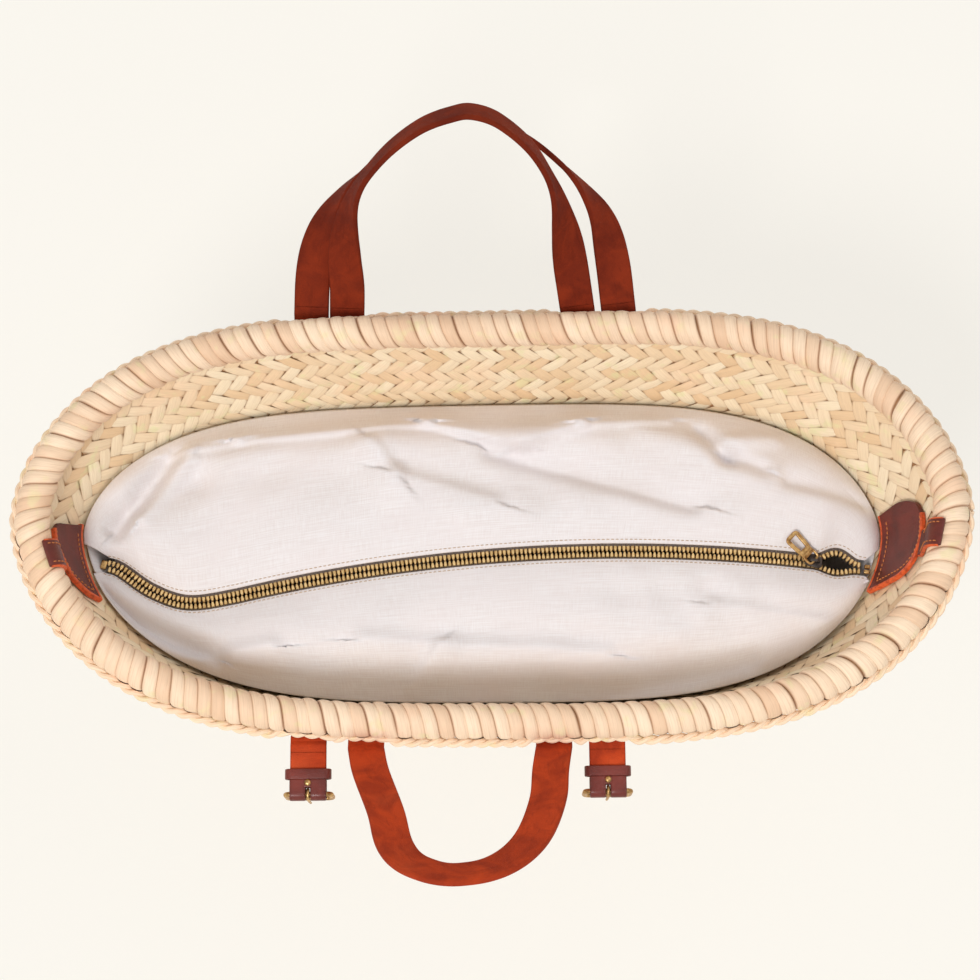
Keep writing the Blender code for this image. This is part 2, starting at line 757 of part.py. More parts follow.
def zip_pull_tab():
    """Pull tab: a bar under the bridge, an eye for the bridge and a window in the grip."""
    bar = PULL_THICKNESS / 2
    near = PULL_NEAR_WIDTH / 2
    far = PULL_FAR_WIDTH / 2
    cut = PULL_THICKNESS / 2
    outline = [(-bar, -near), (PULL_WINDOW_START - bar, -near), (PULL_LENGTH - cut, -far),
               (PULL_LENGTH, -far + cut), (PULL_LENGTH, far - cut), (PULL_LENGTH - cut, far),
               (PULL_WINDOW_START - bar, near), (-bar, near)]
    eye_middle = (bar + PULL_EYE_LENGTH / 2, 0.0)
    eye = rounded_box(PULL_EYE_LENGTH, PULL_EYE_WIDTH, bar / 2, 2, eye_middle)
    window_middle = (PULL_WINDOW_START + PULL_WINDOW_LENGTH / 2, 0.0)
    window = rounded_box(PULL_WINDOW_LENGTH, PULL_WINDOW_WIDTH, bar / 2, 2, window_middle)
    plate("zip_pull_tab", [outline, eye, window], PULL_THICKNESS, pull_place(), "brass")


def end_tab(word, end, heights, sides, rows):
    """Leather tab that covers one end of the zip, bent to the wall's curve."""
    base, rise = heights
    front, back = sides
    inset = WALL + TAB_WALL_GAP
    vertices = []
    for share, front_cut, back_cut in rows:
        height = base + rise * share
        low = front + (back - front) * front_cut
        high = back - (back - front) * back_cut
        for k in range(TAB_COLUMNS):
            y = low + (high - low) * k / (TAB_COLUMNS - 1)
            vertices.append(end_wall_point(end, y, height, inset))
    faces = []
    for row in range(len(rows) - 1):
        for k in range(TAB_COLUMNS - 1):
            a = row * TAB_COLUMNS + k
            quad = (a, a + 1, a + TAB_COLUMNS + 1, a + TAB_COLUMNS)
            faces.append(quad if end > 0 else tuple(reversed(quad)))
    tab = mesh_object("zip_end_tab_" + word, vertices, faces, "burgundy")
    thicken(tab, TAB, -1.0)


def end_wall_angle(end, y, height):
    """Plan angle near one end of the mouth at which the wall's outside has the given y."""
    low, high = -math.pi / 2, math.pi / 2
    for _ in range(40):
        middle = (low + high) / 2
        if wall_surface(middle if end > 0 else math.pi - middle, height).y < y:
            low = middle
        else:
            high = middle
    return low if end > 0 else math.pi - low


def end_wall_point(end, y, height, inset):
    """Point inside the wall near one end of the mouth, at the given y of its outside."""
    return wall_point(end_wall_angle(end, y, height), height, inset)


def tab_anchor(word, end, middle, tab_top):
    """Short strap from a tab's top, taut to the inside of the rim roll and over it."""
    angle = end_wall_angle(end, middle, WALL_TOP + END_RISE)
    top = wall_top(math.cos(angle))
    radius = ROLL_DIAMETER / 2
    roll = wall_point(angle, top, WALL / 2) + Vector((0.0, 0.0, radius + FIT))
    outer = wall_point(angle, top, 0.0) - wall_point(angle, top, WALL)
    outer.z = 0.0
    outer.normalize()
    seat = WALL + ANCHOR_SEAT + ANCHOR / 2
    start = tab_top + ANCHOR_FOOT_GAP
    points = []
    for height in (start, start + ANCHOR_FOOT):
        foot = end_wall_point(end, middle, height, seat) - roll
        points.append((foot.dot(outer), foot.z))
    reach = radius + ANCHOR_GAP + ANCHOR / 2
    across, up = points[-1]
    meet = math.atan2(up, across) % (2 * math.pi) - math.acos(reach / math.hypot(across, up))
    for k in range(ANCHOR_ARC_STEPS + 1):
        turn = meet + (ANCHOR_ARC_END - meet) * k / ANCHOR_ARC_STEPS
        points.append((reach * math.cos(turn), reach * math.sin(turn)))
    place = frame_at(roll, outer, (0.0, 0.0, 1.0))
    strap("tab_anchor_" + word, points, ANCHOR_WIDTH, ANCHOR, place, "burgundy", edge_steps=0)


def hinge_line(side, out, drop):
    """Height and distance of a strap's bending line just outside the rim roll."""
    return Vector((0.0, side * (MOUTH_DEPTH / 2 + out), WALL_TOP + ROLL_DIAMETER / 2 - drop))


def loop(name, side, legs, rise, lean, shares, crown_roll=0.0):
    """Leather loop that leaves the rim flat and turns on edge toward its crown."""
    left, right = legs
    route = [(left + (right - left) * x, rise * y) for x, y in shares]
    points = spline(route, LOOP_RINGS)
    tilts = []
    for i in range(LOOP_RINGS):
        near_end = min(i, LOOP_RINGS - 1 - i) / (LOOP_RINGS - 1)
        u = (near_end - TWIST_START_SHARE) / (TWIST_END_SHARE - TWIST_START_SHARE)
        u = min(1.0, max(0.0, u))
        turned_share = u * u * (3 - 2 * u)
        tilts.append(math.pi / 2 + (crown_roll - math.pi / 2) * turned_share)
    place = frame_at(hinge_line(side, HINGE_OUT, HINGE_DROP), (1.0, 0.0, 0.0), outward(side, lean))
    strap(name, points, STRAP_WIDTH, STRAP, place, "leather", tilts)


def strap_end(name, side, x, hinge, flex_gap, leave_angle):
    """Sewn end of a strap: up the outside of the wall to the bending line, with its rivet."""
    leave = outward(1, leave_angle)
    out = abs(hinge.y)
    gap = STRAP / 2 + flex_gap
    start = (out + leave.y * gap, hinge.z + leave.z * gap)
    second = (out + leave.y * 3 * gap, hinge.z + leave.z * 3 * gap)
    knee = hinge.z - END_KNEE_DROP
    points = [start, second]
    for share in (0.0, 0.25, 0.5, 0.75, 1.0):
        height = knee + (END_BOTTOM - knee) * share
        seat = wall_depth(x, height, side, STRAP_WIDTH) + END_SEAT + STRAP / 2
        points.append((seat, height))
    place = frame_at((x, 0.0, 0.0), (0.0, side, 0.0), (0.0, 0.0, 1.0))
    end = as_mesh(strap(name, spline(points, 11), STRAP_WIDTH, STRAP, place, "leather",
                        edge_steps=0))
    seat = wall_depth(x, RIVET_HEIGHT, side, STRAP_WIDTH) + END_SEAT
    low = wall_depth(x, RIVET_HEIGHT - STRAP, side, STRAP_WIDTH)
    high = wall_depth(x, RIVET_HEIGHT + STRAP, side, STRAP_WIDTH)
    slope = math.atan2(high - low, 2 * STRAP)
    out_way = Vector((0.0, side * math.cos(slope), -math.sin(slope)))
    up_way = Vector((0.0, side * math.sin(slope), math.cos(slope)))
    across = up_way.cross(out_way)
    origin = Vector((x, side * seat, RIVET_HEIGHT)) + out_way * STRAP
    rivet_place = frame_at(origin, across, up_way)
    drill(end, name + "_hole", rivet_place, RIVET_SHANK + RIVET_FIT, 4 * STRAP)
    head = RIVET_FIT
    profile = [(0.0, head + RIVET_HEAD), (RIVET_RADIUS / 2, head + RIVET_HEAD * 0.85),
               (RIVET_RADIUS * 0.85, head + RIVET_HEAD / 2), (RIVET_RADIUS, head), (RIVET_SHANK, head),
               (RIVET_SHANK, -STRAP), (0.0, -STRAP)]
    turned(name + "_rivet", profile, rivet_place, "brass")


def buckle_frame_place(side, x, out, drop, lean):
    """Place on a buckle strap's axis, local X outward along it and local Y up from it."""
    origin = hinge_line(side, out, drop) + Vector((x, 0.0, 0.0))
    along = outward(side, lean)
    up = Vector((0.0, -side * math.cos(lean), math.sin(lean)))
    return frame_at(origin, along, up)


def chape_points():
    """Side view of the chape: a ply above the strap, round the bar and back below."""
    radius = FRAME_WIRE / 2 + PLY_GAP + CHAPE / 2
    points = [(CHAPE_START, radius), (CHAPE_RIVET_PLACE, radius), (SLOT_START, radius)]
    for k in range(9):
        angle = math.pi / 2 - math.pi * k / 8
        points.append((BAR_DISTANCE + radius * math.cos(angle), radius * math.sin(angle)))
    points += [(SLOT_START, -radius), (CHAPE_RIVET_PLACE, -radius), (CHAPE_START, -radius)]
    return points


def buckle_strap(word, place):
    points = [(0.0, 0.0), (BUCKLE_STRAP_END / 3, 0.0), (BUCKLE_STRAP_END * 2 / 3, 0.0),
              (BUCKLE_STRAP_END, 0.0)]
    tongue = as_mesh(strap("buckle_strap_" + word, points, STRAP_WIDTH, STRAP, place, "leather"))
    chape = as_mesh(strap("buckle_chape_" + word, chape_points(), CHAPE_WIDTH, CHAPE, place, "burgundy"))
    upright = place @ Matrix.Translation((CHAPE_RIVET_PLACE, 0, 0)) @ Matrix.Rotation(-math.pi / 2, 4, "X")
    hole = CHAPE_RIVET_SHANK + RIVET_FIT
    depth = 2 * (STRAP + CHAPE) + CUT_OVERRUN
    drill(tongue, "strap_hole_" + word, upright, hole, depth)
    drill(chape, "chape_hole_" + word, upright, hole, depth)
    slot_length = BAR_DISTANCE - SLOT_START + FRAME_WIRE + CHAPE + CUT_OVERRUN
    slot_place = place @ Matrix.Translation((SLOT_START + slot_length / 2, 0, 0))
    slot_box = rounded_box(slot_length, depth, FIT, 1)
    slot = as_mesh(plate("chape_slot_" + word, [slot_box], SLOT_WIDTH, slot_place, "burgundy"))
    combine(chape, to_cutters(slot), "DIFFERENCE")
    chape_rivet(word, upright)


def chape_rivet(word, place):
    face = FRAME_WIRE / 2 + PLY_GAP + CHAPE + RIVET_FIT
    head = face + CHAPE_RIVET_HEAD
    shoulder = CHAPE_RIVET_RADIUS * 0.7
    profile = [(0.0, head), (shoulder, head), (CHAPE_RIVET_RADIUS, face), (CHAPE_RIVET_SHANK, face),
               (CHAPE_RIVET_SHANK, -face), (CHAPE_RIVET_RADIUS, -face), (shoulder, -head), (0.0, -head)]
    turned("buckle_rivet_" + word, profile, place, "brass")


def keeper(word, place):
    """Leather loop that slides on the strap between the rim and the chape."""
    gap_height = STRAP + 2 * KEEPER_FIT
    gap_width = KEEPER_WIDTH - 2 * KEEPER
    outer = rounded_box(KEEPER_WIDTH, gap_height + 2 * KEEPER, STRAP / 2 + KEEPER, 4)
    inner = rounded_box(gap_width, gap_height, STRAP / 2, 4)
    middle = CHAPE_START - FIT - KEEPER_LENGTH / 2
    turn = place @ Matrix.Translation((middle, 0, 0)) @ Matrix.Rotation(math.pi / 2, 4, "Y")
    plate("buckle_keeper_" + word, [outer, inner], KEEPER_LENGTH, turn, "burgundy")


def buckle_frame(word, bar):
    """Brass frame that hangs from its bar in the chape's fold."""
    length = FRAME_HEIGHT - FRAME_WIRE
    width = FRAME_WIDTH - FRAME_WIRE
    box = rounded_box(length, width, FRAME_CORNER, 3, (length / 2, 0.0))
    points = [(x, 0.0, z) for x, z in box]
    wire("buckle_frame_" + word, points, FRAME_WIRE, bar, "brass", closed=True)


def prong(word, bar):
    """Prong hooked round the frame's bar, its tip over the far bar."""
    radius = FRAME_WIRE / 2 + PRONG_GAP + PRONG_WIRE / 2
    length = FRAME_HEIGHT - FRAME_WIRE
    points = []
    for k in range(8):
        angle = PRONG_HOOK_END + (math.pi / 2 - PRONG_HOOK_END) * k / 7
        points.append((radius * math.cos(angle), radius * math.sin(angle)))
    points += [(length / 2, radius), (length, radius), (length + FRAME_WIRE / 2, radius)]
    wire("buckle_prong_" + word, points, PRONG_WIRE, bar, "brass")


def buckles():
    for word, x in (("left", BUCKLE_LEFT), ("right", BUCKLE_RIGHT)):
        place = buckle_frame_place(FRONT, x, BUCKLE_HINGE_OUT, BUCKLE_HINGE_DROP, BUCKLE_LEAN)
        buckle_strap(word, place)
        keeper(word, place)
        bar_point = place @ Vector((BAR_DISTANCE, 0.0, 0.0))
        hang = outward(FRONT, FRAME_LEAN)
        face = Vector((0.0, math.cos(FRAME_LEAN), math.sin(FRAME_LEAN)))
        bar = frame_at(bar_point, hang, face)
        buckle_frame(word, bar)
        prong(word, bar)
        strap_end("buckle_strap_end_" + word, FRONT, x, place.translation, BUCKLE_FLEX_GAP,
                  BUCKLE_LEAVE_ANGLE)


def loops():
    back = (BACK_HANDLE_LEFT, BACK_HANDLE_RIGHT)
    loop("handle_back", BACK, back, BACK_HANDLE_RISE, BACK_HANDLE_LEAN, BACK_HANDLE_SHARES)
    carry = (CARRY_LEFT, CARRY_RIGHT)
    loop("carry_strap", BACK, carry, CARRY_RISE, CARRY_LEAN, CARRY_SHARES)
    front = (FRONT_HANDLE_LEFT, FRONT_HANDLE_RIGHT)
    loop("handle_front", FRONT, front, FRONT_HANDLE_RISE, FRONT_HANDLE_LEAN, FRONT_HANDLE_SHARES,
         FRONT_CROWN_ROLL)
    ends = (("handle_back_end", BACK, back), ("carry_strap_end", BACK, carry),
            ("handle_front_end", FRONT, front))
    for name, side, legs in ends:
        hinge = hinge_line(side, HINGE_OUT, HINGE_DROP)
        strap_end(name + "_left", side, legs[0], hinge, FLEX_GAP, END_LEAVE_ANGLE)
        strap_end(name + "_right", side, legs[1], hinge, FLEX_GAP, END_LEAVE_ANGLE)


def lining(route):
    lining_bag()
    lining_panel(route, BACK, "back", BACK_FOLD_SHARES)
    lining_panel(route, FRONT, "front", FRONT_FOLD_SHARES)


def zip_parts(route):
    zip_rows(route)
    zip_stops(route)
    zip_slider()
    zip_pull_tab()


def end_tabs():
    left = WALL_TOP - TAB_LEFT_DROP
    end_tab("left", -1, (left, TAB_LEFT_RISE), (TAB_LEFT_LOW, TAB_LEFT_HIGH), TAB_LEFT_SHARES)
    tab_anchor("left", -1, ANCHOR_LEFT_Y, left + TAB_LEFT_RISE)
    right = WALL_TOP - TAB_RIGHT_DROP
    end_tab("right", 1, (right, TAB_RIGHT_RISE), (TAB_RIGHT_LOW, TAB_RIGHT_HIGH), TAB_RIGHT_SHARES)
    tab_anchor("right", 1, ANCHOR_RIGHT_Y, right + TAB_RIGHT_RISE)


clear_scene()
PARTS = new_collection("pack_basket")
CUTTERS = new_collection("pack_basket_cutters")
basket_body()
rim_roll()
route = zip_route()
lining(route)
zip_parts(route)
end_tabs()
loops()
buckles()
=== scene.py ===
"""Looks of the palm-leaf pack basket: plaited wall, overcast rim, lining, zip, leather and brass."""

import math

import bmesh
import bpy
import numpy as np
from bpy.props import FloatProperty, FloatVectorProperty, IntProperty, PointerProperty
from mathutils import Matrix, Vector

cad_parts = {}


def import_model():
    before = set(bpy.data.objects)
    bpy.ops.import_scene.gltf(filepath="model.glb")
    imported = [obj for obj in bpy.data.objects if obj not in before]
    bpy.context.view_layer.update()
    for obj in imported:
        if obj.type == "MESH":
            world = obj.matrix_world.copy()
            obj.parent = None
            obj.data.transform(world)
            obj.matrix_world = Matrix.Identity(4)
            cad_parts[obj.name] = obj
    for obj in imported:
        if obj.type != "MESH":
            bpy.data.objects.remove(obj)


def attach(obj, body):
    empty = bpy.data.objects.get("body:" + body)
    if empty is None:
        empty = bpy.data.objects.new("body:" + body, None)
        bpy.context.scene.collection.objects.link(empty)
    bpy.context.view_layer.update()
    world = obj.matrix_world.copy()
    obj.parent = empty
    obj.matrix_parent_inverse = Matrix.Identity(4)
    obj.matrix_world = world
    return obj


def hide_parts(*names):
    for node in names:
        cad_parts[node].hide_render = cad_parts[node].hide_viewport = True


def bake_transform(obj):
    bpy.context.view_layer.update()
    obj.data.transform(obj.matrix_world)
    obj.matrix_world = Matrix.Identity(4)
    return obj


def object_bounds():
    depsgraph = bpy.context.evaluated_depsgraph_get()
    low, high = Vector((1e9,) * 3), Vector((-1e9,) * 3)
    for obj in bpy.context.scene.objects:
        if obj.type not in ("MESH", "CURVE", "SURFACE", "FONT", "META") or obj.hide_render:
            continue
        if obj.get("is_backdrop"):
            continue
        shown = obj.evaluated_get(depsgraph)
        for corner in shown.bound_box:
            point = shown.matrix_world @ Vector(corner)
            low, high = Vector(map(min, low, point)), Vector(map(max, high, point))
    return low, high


bl_info = {
    "name": "Pack Basket",
    "version": (1, 0, 0),
    "blender": (4, 5, 0),
    "location": "3D View > Sidebar > Basket",
    "description": "Builds the visible surfaces of a palm-leaf pack basket",
    "category": "Add Mesh",
}

# Sizes of the frame, in metres
MOUTH_LENGTH = 0.500
MOUTH_DEPTH = 0.2328
BASE_LENGTH = 0.330
BASE_DEPTH = 0.124
WALL = 0.005
WALL_TOP = 0.252
END_RISE = 0.020
BASE_ROUND = 0.012
ROLL_RADIUS = 0.009
FLARE_POWER = 1.7
SIDE_FLATNESS = 3.7
END_ROUNDNESS = 0.58
MOUTH_EGG = 0.022
FIT = 0.0004
HEM_BACK_DROP = 0.0595
HEM_FRONT_DROP = 0.054
HEM_LEFT_DROP = 0.0135
HEM_RIGHT_DROP = 0.0325
CREASE_GAIN = 1.7
PANEL_WALL_GAP = 0.0022
PANEL_BULGE = 0.014
BULGE_SPAN = 0.060
SEAM_SPREAD = 0.0045
FOLD_RISE = 0.006
FOLD_WIDTH = 0.013
BACK_FOLDS = (
    ((-0.332, 0.198), (-0.12, 0.25), 1.0, 0.92), ((-0.12, 0.25), (0.12, 0.266), 0.83, 1.0),
    ((-0.332, 0.146), (-0.40, 0.06), -1.17, 0.85), ((0.17, 0.275), (0.30, 0.146), 0.75, 0.7),
    ((-0.08, 0.13), (0.06, 0.146), -0.5, 1.08),
)
FRONT_FOLDS = (
    ((-0.30, -0.266), (-0.12, -0.258), 0.58, 1.08), ((-0.04, -0.283), (0.20, -0.25), 0.67, 1.0),
    ((0.24, -0.155), (0.33, -0.215), -0.67, 0.85),
)
CREASES = {
    1: (
        ((-0.177, 0.049), (-0.140, 0.058), 0.0026, 0.010, 0.0030),
        ((-0.140, 0.058), (-0.036, 0.070), 0.0034, 0.012, 0.0030),
        ((-0.036, 0.070), (0.017, 0.055), 0.0040, 0.012, 0.0030),
        ((0.017, 0.055), (0.051, 0.068), 0.0036, 0.012, 0.0034),
        ((0.051, 0.068), (0.100, 0.071), 0.0030, 0.010, 0.0035),
        ((-0.176, 0.050), (-0.206, 0.004), -0.0058, 0.0075, 0.0050),
        ((-0.166, 0.046), (-0.190, 0.010), 0.0028, 0.0040, 0.0090),
        ((-0.068, 0.056), (-0.052, 0.036), 0.0030, 0.0045, 0.014),
        ((-0.052, 0.036), (0.000, 0.020), 0.0032, 0.0060, 0.016),
        ((0.000, 0.052), (0.110, 0.018), -0.0042, 0.016, 0.0060),
        ((0.118, 0.064), (0.132, 0.046), -0.0046, 0.0050, 0.0060),
        ((0.132, 0.046), (0.150, 0.038), -0.0040, 0.0050, 0.0070),
        ((0.131, 0.055), (0.158, 0.058), 0.0030, 0.0060, 0.0060),
        ((0.165, 0.030), (0.205, 0.018), -0.0022, 0.0060, 0.0050),
    ),
    -1: (
        ((-0.044, -0.080), (-0.028, -0.060), 0.0024, 0.0035, 0.0090),
        ((-0.172, -0.070), (-0.120, -0.062), 0.0034, 0.0060, 0.0120),
        ((-0.214, -0.036), (-0.150, -0.066), -0.0050, 0.0080, 0.0060),
        ((-0.070, -0.058), (0.060, -0.066), 0.0028, 0.0060, 0.0140),
        ((0.069, -0.086), (0.140, -0.070), -0.0040, 0.0070, 0.0060),
        ((0.120, -0.040), (0.190, -0.052), 0.0026, 0.0050, 0.0110),
    ),
}
ZIP_Z = WALL_TOP - 0.032
ZIP_TOP_Y = -0.0073
ZIP_CENTRE = Vector((0.124 * MOUTH_LENGTH, ZIP_TOP_Y - 1.79 * MOUTH_LENGTH, ZIP_Z))
ZIP_LEFT_GAP = 0.0076
ZIP_RIGHT_GAP = 0.0084
ZIP_TURN_X = -0.28 * MOUTH_LENGTH
ZIP_LEFT = ((0.369, -0.148), (0.652, -0.122), (0.894, -0.074), (1.0, -0.063))
ZIP_LEFT_RISE = 0.0105
SLIDER_FROM_END = 0.0275
ROW_OFFSET = 0.00145
TOOTH_HEIGHT = 0.0026
FOLD_EDGE = 0.0030
PANEL_RAISE = 0.0021
SLIDER_TOP = TOOTH_HEIGHT / 2 + 0.0003 + 0.0022
TABS = {
    "left": (-1, WALL_TOP - 0.0105, 0.0215, -0.040, 0.006, -0.0245, (
        (0.0, 0.0, 0.0), (0.2, 0.02, 0.03), (0.4, 0.056, 0.05), (0.6, 0.14, 0.07), (0.75, 0.23, 0.085),
        (0.88, 0.43, 0.10), (1.0, 0.66, 0.19))),
    "right": (1, WALL_TOP - 0.029, 0.034, -0.0355, 0.014, -0.0175, (
        (0.0, 0.0, 0.06), (0.25, 0.015, 0.03), (0.5, 0.045, 0.0), (0.7, 0.08, 0.01), (0.85, 0.16, 0.05),
        (0.94, 0.27, 0.10), (1.0, 0.45, 0.22))),
}
STRAP_WIDTH = 0.019
STRAP = 0.003
HINGE_Z = WALL_TOP + ROLL_RADIUS
HINGE_OUT = 0.0036
HINGE_DROP = 0.005
BUCKLE_OUT = 0.0011
BUCKLE_DROP = 0.0095
BUCKLE_LEAN = math.radians(92.0)
FRAME_LEAN = math.radians(181.0)
BAR_DISTANCE = 0.0255
BACK_SHARES = (
    (0.0, 0.0), (0.005, 0.14), (0.0, 0.30), (0.015, 0.46), (0.052, 0.60), (0.12, 0.72), (0.222, 0.84),
    (0.35, 0.94), (0.475, 0.99), (0.555, 1.0), (0.665, 0.955), (0.80, 0.82), (0.892, 0.635),
    (0.942, 0.42), (0.972, 0.21), (1.0, 0.0),
)
CARRY_SHARES = (
    (0.0, 0.0), (0.006, 0.17), (0.02, 0.32), (0.052, 0.475), (0.115, 0.62), (0.185, 0.725), (0.265, 0.84),
    (0.36, 0.94), (0.46, 0.995), (0.515, 1.0), (0.61, 0.955), (0.72, 0.865), (0.82, 0.735),
    (0.895, 0.605), (0.95, 0.46), (0.98, 0.26), (1.0, 0.0),
)
FRONT_SHARES = (
    (0.0, 0.0), (0.035, 0.20), (0.125, 0.52), (0.175, 0.76), (0.25, 0.90), (0.375, 0.98), (0.49, 1.0),
    (0.65, 0.965), (0.785, 0.86), (0.885, 0.69), (0.955, 0.43), (0.975, 0.20), (1.0, 0.0),
)
LOOPS = {
    "handle_back": (1, -0.0783, 0.0483, 0.1165, math.radians(45.0), BACK_SHARES, 0.0),
    "carry_strap": (1, -0.0979, 0.0708, 0.108, math.radians(66.0), CARRY_SHARES, 0.0),
    "handle_front": (-1, -0.0672, 0.0312, 0.1105, math.radians(42.0), FRONT_SHARES, math.radians(83.0)),
}
BUCKLES = {"left": -0.0976, "right": 0.0591}
UP = np.array((0.0, 0.0, 1.0))


# Plain geometry

def unit(v):
    return v / np.maximum(np.linalg.norm(v, axis=-1, keepdims=True), 1e-12)


def catmull(points, steps):
    """Catmull-Rom curve through the points with the given steps in each span."""
    pts = np.array(points, float)
    ends = np.vstack([2 * pts[0] - pts[1], pts, 2 * pts[-1] - pts[-2]])
    u = np.linspace(0, 1, steps, endpoint=False)[:, None]
    dense = []
    for i in range(len(pts) - 1):
        p0, p1, p2, p3 = ends[i:i + 4]
        dense.append(0.5 * (2 * p1 + (p2 - p0) * u + (2 * p0 - 5 * p1 + 4 * p2 - p3) * u ** 2
                            + (3 * p1 - p0 - 3 * p2 + p3) * u ** 3))
    return np.vstack(dense + [pts[-1:]])


def lengths(points):
    """Distance along a line of points from its start."""
    return np.concatenate([[0.0], np.cumsum(np.linalg.norm(np.diff(points, axis=0), axis=1))])


def even(points, count):
    """The line resampled to points at equal distances."""
    run = lengths(points)
    wanted = np.linspace(0, run[-1], count)
    return np.stack([np.interp(wanted, run, points[:, k]) for k in range(points.shape[1])], axis=1)


def spline(points, count):
    return even(catmull(points, 24), count)


def tangents(points, closed=False):
    if closed:
        return unit(np.roll(points, -1, axis=0) - np.roll(points, 1, axis=0))
    return unit(np.gradient(points, axis=0))


def place_at(origin, x_axis, y_axis):
    x_axis = Vector(x_axis).normalized()
    y_axis = Vector(y_axis).normalized()
    turn = Matrix((x_axis, y_axis, x_axis.cross(y_axis))).transposed()
    return Matrix.Translation(Vector(origin)) @ turn.to_4x4()


def put(matrix, points):
    """Points of a local place in the world."""
    m = np.array(matrix)
    return np.asarray(points, float) @ m[:3, :3].T + m[:3, 3]


def turn_only(matrix, vectors):
    return np.asarray(vectors, float) @ np.array(matrix)[:3, :3].T


def outward(side, lean):
    return Vector((0.0, side * math.sin(lean), math.cos(lean)))


def rounded_section(width, thickness, radius, steps=3):
    """Closed outline of a flat bar's cross-section with round corners, counter-clockwise."""
    turn = np.linspace(0, math.pi / 2, steps + 1)
    out = []
    for quarter, (sx, sy) in enumerate(((1, 1), (-1, 1), (-1, -1), (1, -1))):
        a = turn + quarter * math.pi / 2
        out.append(np.stack([sx * (width / 2 - radius) + radius * np.cos(a),
                             sy * (thickness / 2 - radius) + radius * np.sin(a)], axis=1))
    return np.vstack(out)


def strap_section(width, thickness, radius):
    """A flat bar's cross-section with extra points over both wide faces."""
    loop = rounded_section(width, thickness, radius)
    out = []
    for i in range(len(loop)):
        a, b = loop[i], loop[(i + 1) % len(loop)]
        gap = np.linalg.norm(b - a)
        parts = max(1, int(gap / 0.0025))
        for k in range(parts):
            out.append(a + (b - a) * k / parts)
    return np.array(out)


def disc_section(radius, steps=10):
    a = np.linspace(0, 2 * math.pi, steps, endpoint=False)
    return np.stack([radius * np.cos(a), radius * np.sin(a)], axis=1)


